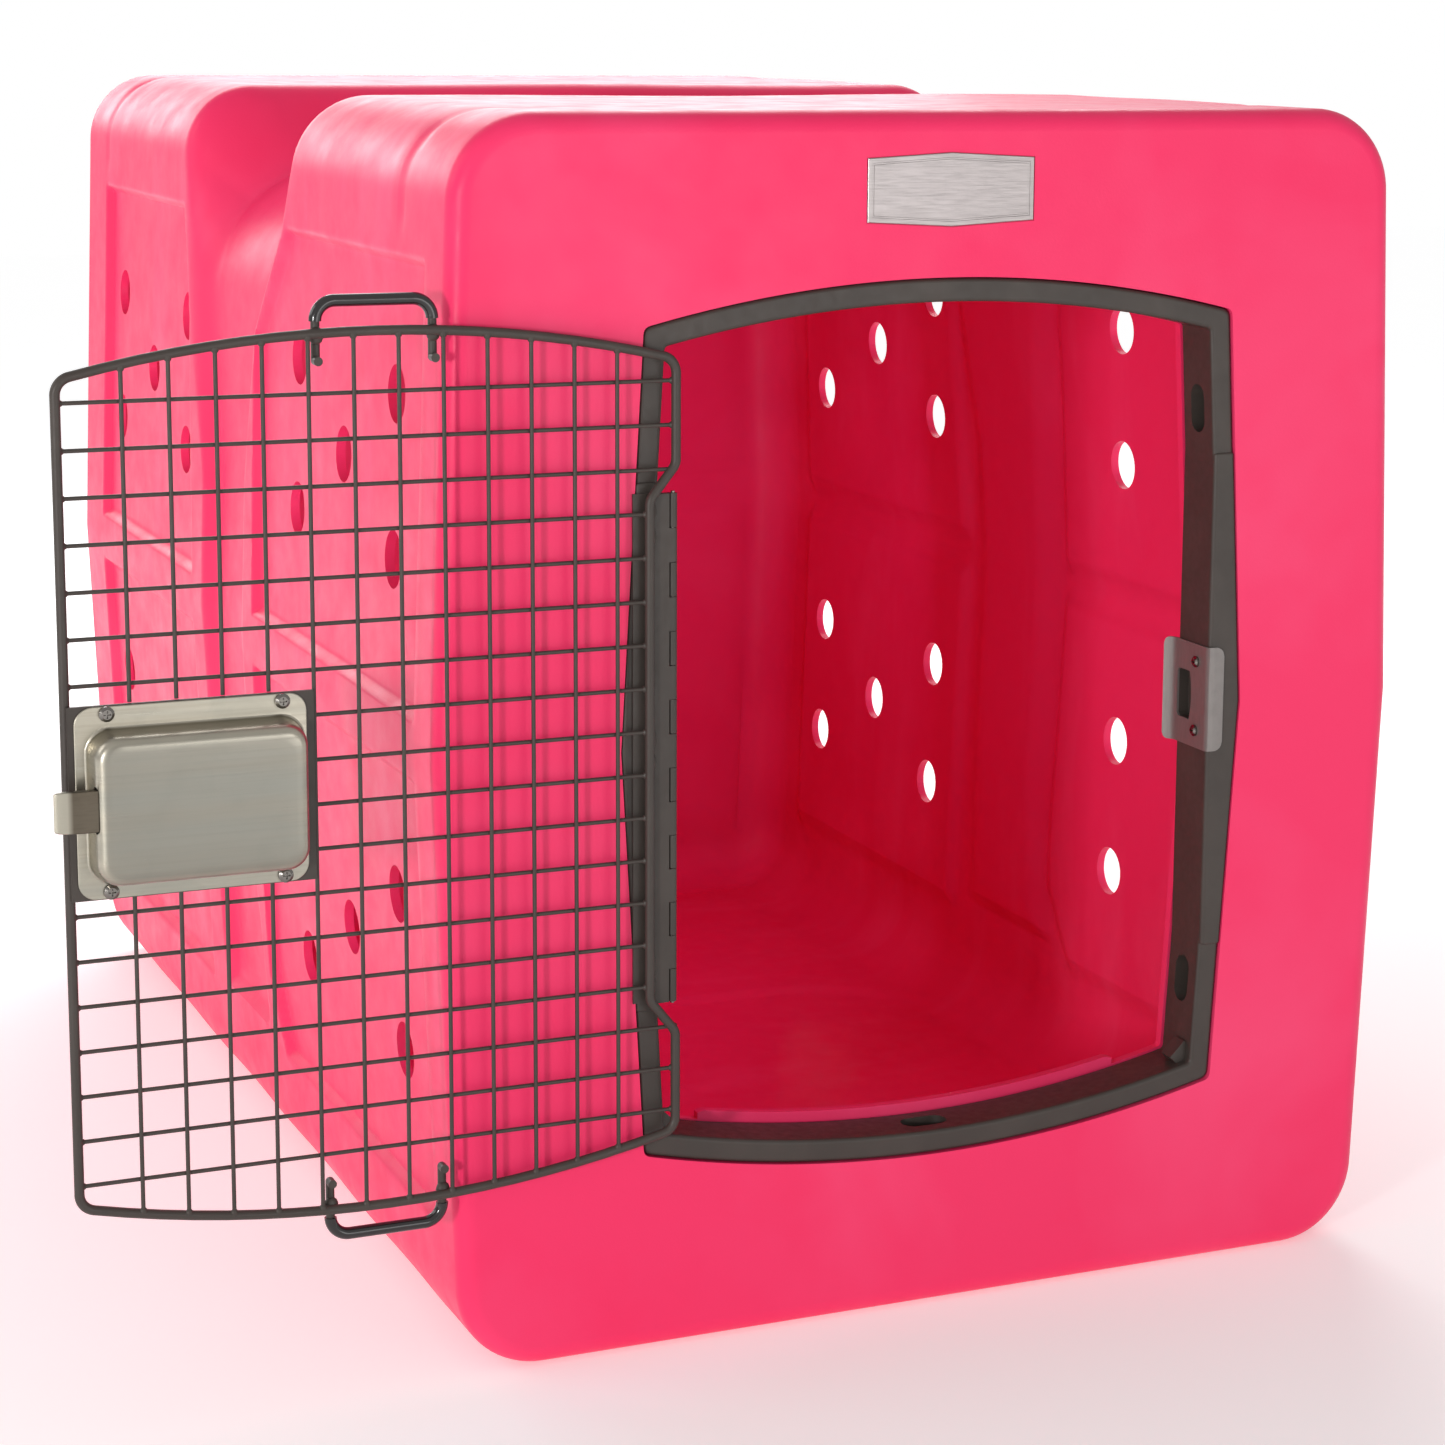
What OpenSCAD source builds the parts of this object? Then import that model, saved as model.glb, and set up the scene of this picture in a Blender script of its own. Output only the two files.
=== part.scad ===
// Framed-door pet transport kennel: one moulded shell, a welded tube door frame,
// a wire door on a continuous hinge, and a paddle latch with a sprung bolt.
// Millimetres. X runs across the door, the door faces -Y, Z is up.
// The origin is the middle of the shell's underside, on the floor.

/* [Shell] */
// Width across the widest line, at mid height
body_w = 636; // [600:2:680]
// Height
body_h = 734; // [700:2:760]
// Length from the door face to the back
body_l = 980; // [960:5:1040]
// Wall thickness
wall = 6; // [5:0.5:7]
// How much narrower the top and bottom are, each side
side_lean = 12; // [6:1:16]
// Radius of the long edges
corner_r = 52; // [40:1:60]
// Radius of the front and back edges
edge_r = 12; // [10:1:26]
// Depth of the waist groove over the top
waist_top_depth = 55; // [30:1:60]
// Depth of the waist groove down the sides
waist_side_depth = 9; // [6:1:10]
// Depth of the side panels
panel_depth = 6; // [4:0.5:7]
// Diameter of a vent hole
vent_d = 35; // [28:1:38]

/* [Door frame] */
// Half width of the frame at mid height
frame_half_mid = 206; // [204:1:210]
// Half width of the frame at its corners
frame_half_corner = 192; // [191:1:196]
// Half height of the frame on the centre line
frame_half_h = 269; // [268:1:274]
// Drop of the arch from its middle to its corners
arch_drop = 24; // [20:1:26]
// Face width of the tube
tube_w = 14; // [13:0.5:15]
// Depth of the tube
tube_d = 37; // [32:1:38]
// Wall of the tube
tube_wall = 1.6; // [1.2:0.2:2]
// Half length of the sleeves that join the two frame halves
sleeve_half = 157; // [150:1:165]

/* [Door] */
// Distance between mesh wires
mesh_pitch = 25.4; // [24:0.2:26]
// Diameter of a mesh wire
wire_d = 2.4; // [2:0.1:3]
// Diameter of the rim rod
rim_d = 5.6; // [5:0.1:6]
// Width of the door between rim rod centres
door_w = 350; // [346:1:351]
// Half height of the door on its centre line, to the rod centre
door_half_h = 249.5; // [245:0.5:251]
// Radius of the arched top and bottom rods
door_arch_r = 725; // [650:5:800]

/* [Latch] */
// Width of the latch cover
cover_w = 127; // [124:1:130]
// Height of the latch cover
cover_h = 106; // [100:1:108]
// Height of the pressed box on the cover
cover_box = 22; // [20:1:24]
// Height of the bolt
bolt_h = 23; // [20:1:24]

/* [Hidden] */
$fn = 48;

pink = [0.93, 0.24, 0.40];
powder = [0.30, 0.27, 0.25];
steel = [0.74, 0.73, 0.70];
black = [0.06, 0.05, 0.05];

// Shell
mid_z = body_h / 2;
half_mid = body_w / 2;
half_end = half_mid - side_lean;
arc_steps = 10;
cut_l = body_l + 200;
panel_top = body_h - 87;
panel_bottom = 84;
band_half = 20;
vent_dy = 109;
vent_dz = 49;
vent_z = 151;
vent_front_y = 222;
vent_rear_y = body_l - 228;

// Door frame
arch_r = (frame_half_corner * frame_half_corner + arch_drop * arch_drop) / (2 * arch_drop);
pocket_gap = 0.6;
tube_front = 1.3;
pocket_d = tube_front + tube_d + 1.2;
lip_reach = 20;
lip_half = 143;
sleeve_d = tube_front + tube_d + 0.9;
sleeve_x = 183.4;
slot_z = 183;
slot_l = 30;
slot_w = 16;
slot_y = tube_front + tube_d / 2;

// Hinge
hinge_x = -175.8;
hinge_y = -2.5;
hinge_half = 151;
knuckle_r = 2.5;
knuckle_count = 15;
knuckle_gap = 0.4;
pin_r = 1.2;
pin_hole_r = 1.25;
leaf_t = 1.5;
leaf_w = 15;

// Door, in its own frame: U away from the hinge, W inwards, Z up
rim_r = rim_d / 2;
wire_r = wire_d / 2;
rim_plane = 5;
wire_step = 1.1;
jog_u = 16;
// Bend radius at the four turns of that step
jog_bend = 9;
jog_top = 168;
jog_bottom = 148;
rim_corner_r = 10;
// Straight rods run this far into the bends they meet
bend_lap = 0.2;
// Straight rods are this much thinner in radius than their bends
bend_step = 0.03;
mesh_first_u = 36;
mesh_cols = 12;
mesh_rows = 18;
door_mid_u = door_w / 2;
arch_centre = door_half_h - door_arch_r;
corner_u = door_mid_u - rim_corner_r;
corner_v = arch_centre + sqrt(pow(door_arch_r - rim_corner_r, 2) - pow(corner_u, 2));
arch_angle = asin(corner_u / (door_arch_r - rim_corner_r));

// Stop loops
loop_rod_r = 2.5;
loop_skin_r = 3.5;
loop_half = 33;
loop_rise = 16.5;
loop_bend = 11;
loop_plane = rim_plane - rim_r - loop_rod_r + 0.2;
loop_tail = 16;
loop_skin_end = 5.5;

// Latch, in the door's frame
latch_u = 281;
latch_z = mid_z;
plate_w = 135;
plate_h = 107;
plate_t = 2.2;
plate_w0 = rim_plane + rim_r;
sheet_t = 1.2;
cover_w0 = plate_w0 + plate_t;
box_u = 118;
box_h = 84;
box_dv = -1.5;
cover_du = 2;
screw_du = 48;
screw_dz = 49;
tray_u = 104;
tray_h = 78;
tray_back = 16.5;
bolt_t = 5;
bolt_w0 = 23.5;
bolt_tip_u = 361;
bolt_tail_u = 268;
pivot_u = 323;
pivot_w = 10.5;
lever_l = 17.5;
paddle_far_u = 258;
paddle_h = 64;
paddle_t = 2;
paddle_face_w = 4.5;
lock_u = 243;
lock_z = latch_z - 22;
lock_r = 6;
plug_r = 4.2;
bezel_t = 1.5;
lock_w0 = tray_back - sheet_t - bezel_t;
barrel_l = 10.7;

function arc_points(cx, cy, r, a0, a1) =
    [for (i = [0:arc_steps]) let (a = a0 + (a1 - a0) * i / arc_steps) [cx + r * cos(a), cy + r * sin(a)]];

// Every shape below is drawn from the shell's front edge; this moves it to the middle of the underside
module from_front() {
    translate([0, -body_l / 2, 0]) children();
}

// ---- shapes shared by the shell's outside and inside ----

// Cross section of the shell, every face moved in by t
module shell_section(t, inset_side = 0, inset_top = 0, round_r = corner_r) {
    side = half_mid - t - inset_side;
    end = half_end - t - inset_side;
    top = body_h - t - inset_top;
    low_r = corner_r - t;
    top_r = round_r - t;
    polygon(concat(
        arc_points(end - low_r, t + low_r, low_r, -90, 0),
        [[side, mid_z]],
        arc_points(end - top_r, top - top_r, top_r, 0, 90),
        arc_points(top_r - end, top - top_r, top_r, 90, 180),
        [[-side, mid_z]],
        arc_points(low_r - end, t + low_r, low_r, 180, 270)
    ));
}

module rounded_block(x0, x1, y0, y1, r) {
    polygon(concat(
        arc_points(x1 - r, y0 + r, r, -90, 0),
        arc_points(x1 - r, y1 - r, r, 0, 90),
        arc_points(x0 + r, y1 - r, r, 90, 180),
        arc_points(x0 + r, y0 + r, r, 180, 270)
    ));
}

// Lays an outline drawn in X and Z along Y
module along_y(y0, y1) {
    translate([0, y1, 0]) rotate([90, 0, 0]) linear_extrude(y1 - y0) children();
}

// Lays an outline drawn in Y and Z along X
module along_x(x0, x1) {
    translate([x0, 0, 0]) rotate([90, 0, 90]) linear_extrude(x1 - x0) children();
}

// Waist groove seen from the side, grown by t
module waist_outline(t) {
    polygon([
        [362 - t, body_h + 50], [362 - t, 690], [378 - t, 655], [446 - t, 580], [455 - t, 460],
        [455 - t, 190], [440 - t, 90 - t], [545 + t, 90 - t], [553 + t, 190], [560 + t, 460],
        [590 + t, 580], [606 + t, 655], [612 + t, 690], [612 + t, body_h + 50]
    ]);
}

// The four recessed side panels, grown by t
module panel_outlines(t) {
    low = panel_bottom - t;
    high = panel_top + t;
    band_low = mid_z - band_half + t;
    band_high = mid_z + band_half - t;
    rear = body_l - 78 + t;
    polygon([[48 - t, band_high], [418 + t, band_high], [424 + t, 573], [348 + t, high], [48 - t, high]]);
    polygon([[48 - t, low], [385 + t, low], [422 + t, 135], [424 + t, 186], [418 + t, band_low], [48 - t, band_low]]);
    polygon([[600 - t, band_high], [rear, band_high], [rear, high], [640 - t, high], [618 - t, 573]]);
    polygon([[600 - t, band_low], [598 - t, low], [rear, low], [rear, band_low]]);
}

// The shell as a closed form with every face moved in by t
module shell_form(t) {
    r = max(edge_r - t, 4);
    difference() {
        intersection() {
            along_y(t, body_l - t) shell_section(t);
            along_x(-half_mid, half_mid) rounded_block(t, body_l - t, t, body_h - t, r);
            linear_extrude(body_h) rounded_block(t - half_mid, half_mid - t, t, body_l - t, r);
        }
        difference() {
            along_x(-half_mid - 1, half_mid + 1) waist_outline(t);
            along_y(-1, cut_l) shell_section(t, waist_side_depth, waist_top_depth, 95);
        }
        difference() {
            along_x(-half_mid - 1, half_mid + 1) panel_outlines(t);
            along_y(-1, cut_l) shell_section(t, panel_depth, 0);
        }
    }
}

// Outline of the door frame, with its sides and its arches moved out separately
module frame_face(side_grow, arch_grow) {
    low = [frame_half_corner + side_grow - (frame_half_mid - frame_half_corner), 2 * (frame_half_h - arch_drop)];
    translate([0, mid_z]) intersection() {
        translate([0, frame_half_h - arch_r]) circle(r = arch_r + arch_grow, $fn = 360);
        translate([0, arch_r - frame_half_h]) circle(r = arch_r + arch_grow, $fn = 360);
        polygon([
            [frame_half_mid + side_grow, 0], low, [-low.x, low.y],
            [-frame_half_mid - side_grow, 0], [-low.x, -low.y], [low.x, -low.y]
        ]);
    }
}

// The opening through the shell: flush with the frame, with a raised lip along the bottom
module opening_face() {
    difference() {
        frame_face(-tube_w, -tube_w);
        difference() {
            translate([-lip_half, 0]) square([2 * lip_half, mid_z]);
            frame_face(-tube_w, -lip_reach);
        }
    }
}

module vents() {
    for (y = [vent_front_y, vent_rear_y], z = [mid_z - vent_z, mid_z + vent_z]) {
        for (p = [[0, 0], [-1, -1], [-1, 1], [1, -1], [1, 1]]) {
            translate([-half_mid - 1, y + p.x * vent_dy, z + p.y * vent_dz])
                rotate([0, 90, 0]) cylinder(d = vent_d, h = body_w + 2);
        }
    }
}

module body_shell() {
    color(pink) from_front() difference() {
        union() {
            difference() {
                shell_form(0);
                shell_form(wall);
            }
            along_y(wall / 2, pocket_d + wall) frame_face(pocket_gap + wall, pocket_gap + wall);
        }
        along_y(-1, pocket_d) frame_face(pocket_gap, pocket_gap);
        along_y(-1, pocket_d + wall + 1) opening_face();
        vents();
        for (p = screw_places()) {
            translate([p.x, slot_y, p.z]) rotate([0, p.y, 0]) cylinder(r = 2.1, h = 4.8 + pocket_gap);
        }
        translate([0, 0, plate_centre_z]) along_y(-1, 1.2) name_outline(0.5);
    }
}

// ---- name plate ----

plate_centre_z = 688;
name_half_w = 54;
name_half_side = 18.5;
name_half_mid = 21.5;

module name_outline(grow) {
    polygon([
        [name_half_w + grow, -name_half_side - grow], [name_half_w + grow, name_half_side + grow],
        [0, name_half_mid + grow], [-name_half_w - grow, name_half_side + grow],
        [-name_half_w - grow, -name_half_side - grow], [0, -name_half_mid - grow]
    ]);
}

module name_plate() {
    color(steel) from_front() translate([0, 0, plate_centre_z]) difference() {
        along_y(-0.4, 1.2) name_outline(0);
        difference() {
            along_y(-1, -0.1) name_outline(-3);
            along_y(-1, 0) name_outline(-4.2);
        }
    }
}

// ---- door frame ----

// Places of the frame screws: [x, turn about Y from +Z, z], on the inside of the tube's outer wall
function screw_places() = [
    for (s = [-1, 1], v = [-1, 1]) [s * (side_x(slot_z) + 0.3), s * 90, mid_z + v * slot_z],
    [0, 0, mid_z + frame_half_h + 0.2],
    [0, 180, mid_z - frame_half_h - 0.2]
];

function side_x(v) = frame_half_mid - (frame_half_mid - frame_half_corner) * v / (frame_half_h - arch_drop);

// One half of the frame: an arch and its two legs, hollow, with its screw access slots
module frame_half(up) {
    color(powder) from_front() difference() {
        intersection() {
            along_y(tube_front, tube_front + tube_d) difference() {
                frame_face(0, 0);
                frame_face(-tube_w, -tube_w);
            }
            translate([-250, -1, up > 0 ? mid_z + sleeve_half : mid_z - sleeve_half - 200]) cube([500, 40, 200]);
        }
        along_y(tube_front + tube_wall, tube_front + tube_d - tube_wall) difference() {
            frame_face(-tube_wall, -tube_wall);
            frame_face(tube_wall - tube_w, tube_wall - tube_w);
        }
        for (s = [-1, 1]) {
            translate([s * (side_x(slot_z) - tube_w), slot_y, mid_z + up * slot_z])
                slot_cut([0, 90, 0], 5);
        }
        translate([0, slot_y, mid_z + up * (frame_half_h - tube_w)]) rotate([0, 90, 0]) slot_cut([0, 90, 0], 5);
        for (p = screw_places()) {
            translate([p.x, slot_y, p.z]) rotate([0, p.y, 0]) translate([0, 0, -4]) cylinder(r = 2.3, h = 6);
        }
    }
}

// A round-ended slot, long along Z, cut through a wall that faces X
module slot_cut(turn, reach) {
    straight = slot_l - slot_w;
    for (s = [-1, 1]) {
        translate([0, 0, s * straight / 2]) rotate(turn) translate([0, 0, -reach]) cylinder(d = slot_w, h = 2 * reach);
    }
    translate([-reach, -slot_w / 2, -straight / 2]) cube([2 * reach, slot_w, straight]);
}

module frame_upper_tube() {
    frame_half(1);
}

module frame_lower_tube() {
    frame_half(-1);
}

// The larger tube that joins the two halves at one side
module sleeve(side) {
    outer_end = side_x(sleeve_half) + 0.4;
    outer_mid = frame_half_mid + 0.4;
    w = tube_wall;
    color(powder) from_front() scale_x(side) difference() {
        along_y(0, sleeve_d) polygon([
            [sleeve_x, mid_z - sleeve_half], [outer_end, mid_z - sleeve_half], [outer_mid, mid_z],
            [outer_end, mid_z + sleeve_half], [sleeve_x, mid_z + sleeve_half]
        ]);
        along_y(w, sleeve_d - w) polygon([
            [sleeve_x + w, mid_z - sleeve_half + w], [outer_end - w, mid_z - sleeve_half + w],
            [outer_mid - w, mid_z], [outer_end - w, mid_z + sleeve_half - w],
            [sleeve_x + w, mid_z + sleeve_half - w]
        ]);
        if (side > 0) {
            translate([180, strike_cut_y0, strike_cut_z - strike_cut_h / 2]) cube([8, strike_cut_d, strike_cut_h]);
            strike_screw_holes(1.7);
        }
    }
}

module scale_x(side) {
    if (side > 0) {
        children();
    } else {
        mirror([1, 0, 0]) children();
    }
}

module frame_sleeve_left() {
    sleeve(-1);
}

module frame_sleeve_right() {
    sleeve(1);
}

// Small welded pads in the frame's lower corners
module frame_corner_pads() {
    pad = 14;
    corner_z = mid_z - frame_half_h + arch_drop + tube_w;
    color(powder) from_front() for (s = [-1, 1]) {
        along_y(8, 20) intersection() {
            frame_face(-tube_w, -tube_w);
            translate([s * (frame_half_corner - tube_w), corner_z]) rotate([0, 0, 45]) square(pad, center = true);
        }
    }
}

// A pan-head screw with a cross recess; its head starts at Z 0 and rises, its shank goes down
module pan_screw(head_r, head_h, shank_r, shank_l) {
    difference() {
        union() {
            cylinder(r = head_r, h = head_h * 0.55);
            translate([0, 0, head_h * 0.55]) cylinder(r1 = head_r, r2 = head_r * 0.62, h = head_h * 0.45);
            translate([0, 0, -shank_l]) cylinder(r = shank_r, h = shank_l);
        }
        for (a = [0, 90]) {
            rotate([0, 0, a]) translate([-head_r * 0.5, -head_r * 0.11, head_h * 0.45])
                cube([head_r, head_r * 0.22, head_h]);
        }
    }
}

module frame_screws() {
    color(steel) from_front() for (p = screw_places()) {
        translate([p.x, slot_y, p.z]) rotate([0, p.y, 0]) translate([0, 0, -tube_wall - 0.7])
            rotate([180, 0, 0]) pan_screw(4.4, 3, 2, 4.4);
    }
}

// ---- strike plate ----

strike_z = mid_z + 2;
strike_h = 66;
strike_x = sleeve_x;
strike_t = 1.5;
strike_cut_y0 = 18.5;
strike_cut_d = 11;
strike_cut_h = 31;
strike_cut_z = mid_z + 1;
strike_screw_dz = 22;
strike_screw_y = 13;

module strike_screw_holes(r) {
    for (s = [-1, 1]) {
        translate([strike_x - 4, strike_screw_y, strike_z + s * strike_screw_dz]) rotate([0, 90, 0]) cylinder(r = r, h = 14);
    }
}

// Bent strip: a lip over the frame's face, a flat along its inner side, and a flared lead at the back
module strike_plate() {
    color(steel) from_front() difference() {
        translate([0, 0, strike_z - strike_h / 2]) linear_extrude(strike_h) polygon([
            [strike_x + 10, -strike_t], [strike_x + 10, 0], [strike_x, 0], [strike_x, 39.5],
            [strike_x - 6, 46], [strike_x - 7.1, 45], [strike_x - strike_t, 38.9], [strike_x - strike_t, -strike_t]
        ]);
        translate([170, strike_cut_y0, strike_cut_z - strike_cut_h / 2]) cube([18, strike_cut_d, strike_cut_h]);
        strike_screw_holes(2.2);
    }
}

module strike_screws() {
    color(steel) from_front() for (s = [-1, 1]) {
        translate([strike_x - strike_t - 0.05, strike_screw_y, strike_z + s * strike_screw_dz])
            rotate([0, -90, 0]) pan_screw(3.6, 2.4, 1.65, 7);
    }
}

// ---- the door's own frame ----

// Puts a piece drawn in the door's frame where the open door is
module on_door() {
    translate([hinge_x, hinge_y, 0]) rotate([0, 0, 180]) children();
}

// Lays an outline drawn in U and Z through the door from depth w0 to w1
module through_door(w0, w1) {
    translate([0, w1, 0]) rotate([90, 0, 0]) linear_extrude(w1 - w0) children();
}

// A rod along a path in the drawing plane, with a rounded bend at each inner point
module bent_rod(path, bend_r, r, end_lap = 0) {
    last = len(path) - 1;
    straight_r = (last > 1 || end_lap > 0) ? r - bend_step : r;
    trims = [for (i = [0:last]) (i == 0 || i == last)
        ? -end_lap
        : bend_r * tan(abs(turn_at(path, i)) / 2) - bend_lap];
    for (i = [0:last - 1]) {
        a = path[i];
        d = path[i + 1] - a;
        heading = atan2(d.y, d.x);
        translate([a.x, a.y, 0]) rotate([0, 0, heading]) translate([trims[i], 0, 0]) rotate([0, 90, 0])
            cylinder(r = straight_r, h = norm(d) - trims[i] - trims[i + 1]);
    }
    for (i = [1:last - 1]) {
        turn = turn_at(path, i);
        s = turn > 0 ? 1 : -1;
        d = path[i] - path[i - 1];
        heading = atan2(d.y, d.x);
        start = heading - 90 * s;
        translate([path[i].x, path[i].y, 0]) rotate([0, 0, heading])
            translate([-bend_r * tan(abs(turn) / 2), s * bend_r, 0])
            rotate([0, 0, -heading + min(start, start + turn)])
            rotate_extrude(angle = abs(turn)) translate([bend_r, 0]) circle(r = r);
    }
}

function turn_at(path, i) =
    let (a = path[i] - path[i - 1], b = path[i + 1] - path[i])
    atan2(a.x * b.y - a.y * b.x, a.x * b.x + a.y * b.y);

// Turns a drawing plane of U and Z into the door's plane at depth w
module in_door_plane(w) {
    translate([0, w, mid_z]) rotate([90, 0, 0]) children();
}

module rim_arch(side) {
    lap_angle = bend_lap / door_arch_r * 180 / PI;
    translate([door_mid_u, side * arch_centre, 0]) rotate([0, 0, side * 90 - arch_angle - lap_angle])
        rotate_extrude(angle = 2 * (arch_angle + lap_angle)) translate([door_arch_r, 0]) circle(r = rim_r - bend_step);
}

module rim_corner(end, side) {
    start = end > 0 ? (side > 0 ? 0 : arch_angle - 90) : (side > 0 ? 90 + arch_angle : 180);
    translate([door_mid_u + end * corner_u, side * corner_v, 0]) rotate([0, 0, start])
        rotate_extrude(angle = 90 - arch_angle) translate([rim_corner_r, 0]) circle(r = rim_r);
}

module door_rim() {
    color(powder) from_front() on_door() in_door_plane(rim_plane) {
        for (side = [-1, 1]) {
            rim_arch(side);
            rim_corner(-1, side);
            rim_corner(1, side);
        }
        bent_rod([[door_w, corner_v], [door_w, -corner_v]], 1, rim_r, bend_lap);
        bent_rod([
            [0, corner_v], [0, jog_top], [jog_u, jog_bottom],
            [jog_u, -jog_bottom], [0, -jog_top], [0, -corner_v]
        ], jog_bend, rim_r, bend_lap);
    }
}

// Height of the rim rod's centre above mid height, at a distance u from the hinge
function rim_v(u) = arch_centre + sqrt(door_arch_r * door_arch_r - pow(u - door_mid_u, 2));

function in_plate_u(u) = u > latch_u + 1.5 - plate_w / 2;
function in_plate_v(v) = abs(v) < plate_h / 2;

module wire(u0, v0, u1, v1) {
    bent_rod([[u0, v0], [u1, v1]], 1, wire_r);
}

module mesh_vertical_wires() {
    bite = rim_r - 0.8;
    color(powder) from_front() on_door() in_door_plane(rim_plane + wire_step) {
        for (i = [0:mesh_cols - 1]) {
            u = mesh_first_u + i * mesh_pitch;
            end = rim_v(u) - bite;
            if (in_plate_u(u)) {
                wire(u, -end, u, -plate_h / 2 - 0.2);
                wire(u, plate_h / 2 + 0.2, u, end);
            } else {
                wire(u, -end, u, end);
            }
        }
    }
}

module mesh_horizontal_wires() {
    bite = rim_r - 0.8;
    color(powder) from_front() on_door() in_door_plane(rim_plane - wire_step) {
        for (i = [0:mesh_rows - 1]) {
            v = (i - (mesh_rows - 1) / 2) * mesh_pitch;
            start = abs(v) < jog_top - 14 ? jog_u + bite : bite;
            stop = in_plate_v(v) ? latch_u + 1.5 - plate_w / 2 - 0.2 : door_w - bite;
            wire(start, v, stop, v);
        }
    }
}

// ---- hinge ----

// Knuckles of one leaf; first is 0 or 1
module knuckles(first) {
    pitch = 2 * hinge_half / knuckle_count;
    for (i = [first:2:knuckle_count - 1]) {
        translate([0, 0, mid_z - hinge_half + i * pitch + knuckle_gap / 2]) difference() {
            cylinder(r = knuckle_r, h = pitch - knuckle_gap);
            translate([0, 0, -1]) cylinder(r = pin_hole_r, h = pitch + 2);
        }
    }
}

// Leaf of the hinge, cut away where the other leaf's knuckles turn
module leaf(first, reach) {
    pitch = 2 * hinge_half / knuckle_count;
    difference() {
        union() {
            translate([0, knuckle_r - leaf_t, mid_z - hinge_half + knuckle_gap / 2])
                cube([reach, leaf_t, 2 * hinge_half - knuckle_gap]);
            knuckles(first);
        }
        for (i = [1 - first:2:knuckle_count - 1]) {
            translate([-knuckle_r - 1, -knuckle_r - 1, mid_z - hinge_half + i * pitch - knuckle_gap / 2])
                cube([2 * knuckle_r + 1.5, 2 * knuckle_r + 2, pitch + knuckle_gap]);
        }
        translate([0, 0, mid_z - hinge_half - 1]) cylinder(r = pin_hole_r, h = 2 * hinge_half + 2);
    }
}

module hinge_frame_leaf() {
    color(powder) from_front() translate([hinge_x, hinge_y, 0]) mirror([1, 0, 0]) leaf(0, 24);
}

module hinge_door_leaf() {
    color(powder) from_front() on_door() leaf(1, leaf_w);
}

module hinge_pin() {
    color(steel) from_front() translate([hinge_x, hinge_y, mid_z - hinge_half - 1]) cylinder(r = pin_r, h = 2 * hinge_half + 2);
}

// ---- stop loops ----

// The loop's path for the top of the door; tail is how far its legs run down past the rim
function loop_path(tail) = [
    [door_mid_u - loop_half, door_half_h - tail], [door_mid_u - loop_half, door_half_h + loop_rise],
    [door_mid_u + loop_half, door_half_h + loop_rise], [door_mid_u + loop_half, door_half_h - tail]
];

module stop_loop(side) {
    color(powder) from_front() on_door() in_door_plane(loop_plane) mirror([0, side > 0 ? 0 : 1, 0])
        bent_rod(loop_path(loop_tail), loop_bend, loop_rod_r);
    color(powder) from_front() on_door() for (s = [-1, 1]) {
        translate([door_mid_u + s * loop_half, loop_plane, mid_z + side * (door_half_h - loop_tail)])
            rotate([-90, 0, 0]) cylinder(r = loop_rod_r, h = rim_plane + 1 - loop_plane);
        translate([door_mid_u + s * loop_half, loop_plane, mid_z + side * (door_half_h - loop_tail)])
            sphere(r = loop_rod_r);
    }
}

module loop_sleeve(side) {
    color(black) from_front() on_door() in_door_plane(loop_plane) mirror([0, side > 0 ? 0 : 1, 0]) difference() {
        bent_rod(loop_path(-loop_skin_end), loop_bend, loop_skin_r);
        bent_rod(loop_path(loop_tail), loop_bend, loop_rod_r);
    }
}

module stop_loop_top() {
    stop_loop(1);
}

module stop_loop_bottom() {
    stop_loop(-1);
}

module loop_sleeve_top() {
    loop_sleeve(1);
}

module loop_sleeve_bottom() {
    loop_sleeve(-1);
}

// ---- latch ----

module latch_rect(w, h, r, du = 0, dv = 0) {
    u = latch_u + du;
    v = latch_z + dv;
    rounded_block(u - w / 2, u + w / 2, v - h / 2, v + h / 2, r);
}

module latch_screw_holes(r) {
    for (a = [-1, 1], b = [-1, 1]) {
        translate([latch_u + a * screw_du, 0, latch_z + b * screw_dz]) rotate([-90, 0, 0]) cylinder(r = r, h = 40);
    }
}

module latch_back_plate() {
    color(powder) from_front() on_door() difference() {
        through_door(plate_w0, plate_w0 + plate_t) difference() {
            translate([latch_u + 1.5 - plate_w / 2, latch_z - plate_h / 2]) square([plate_w, plate_h]);
            latch_rect(tray_u + 1, tray_h + 1, 8);
        }
        latch_screw_holes(2.3);
    }
}

// Pressed cover: a flange and a shallow box, open towards the plate, with the bolt's slot in its end
module latch_cover() {
    color(steel) from_front() on_door() difference() {
        union() {
            through_door(cover_w0, cover_w0 + sheet_t) latch_rect(cover_w, cover_h, 10, cover_du);
            through_door(cover_w0, cover_w0 + cover_box - 3) latch_rect(box_u, box_h, 12, 0, box_dv);
            through_door(cover_w0, cover_w0 + cover_box) latch_rect(box_u - 6, box_h - 6, 11, 0, box_dv);
        }
        through_door(cover_w0 - 1, cover_w0 + cover_box - 3 - sheet_t)
            latch_rect(box_u - 2 * sheet_t, box_h - 2 * sheet_t, 11, 0, box_dv);
        through_door(cover_w0 - 1, cover_w0 + cover_box - sheet_t)
            latch_rect(box_u - 6 - 2 * sheet_t, box_h - 6 - 2 * sheet_t, 10, 0, box_dv);
        translate([latch_u + box_u / 2 - 10, bolt_w0 - 1, latch_z - bolt_h / 2 - 1]) cube([20, bolt_t + 2, bolt_h + 2]);
        latch_screw_holes(2.3);
    }
}

module cover_screws() {
    color(steel) from_front() on_door() for (a = [-1, 1], b = [-1, 1]) {
        translate([latch_u + a * screw_du, cover_w0 + sheet_t + 0.05, latch_z + b * screw_dz]) rotate([-90, 0, 0])
            pan_screw(4.2, 2.6, 2.1, 6);
    }
}

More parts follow.
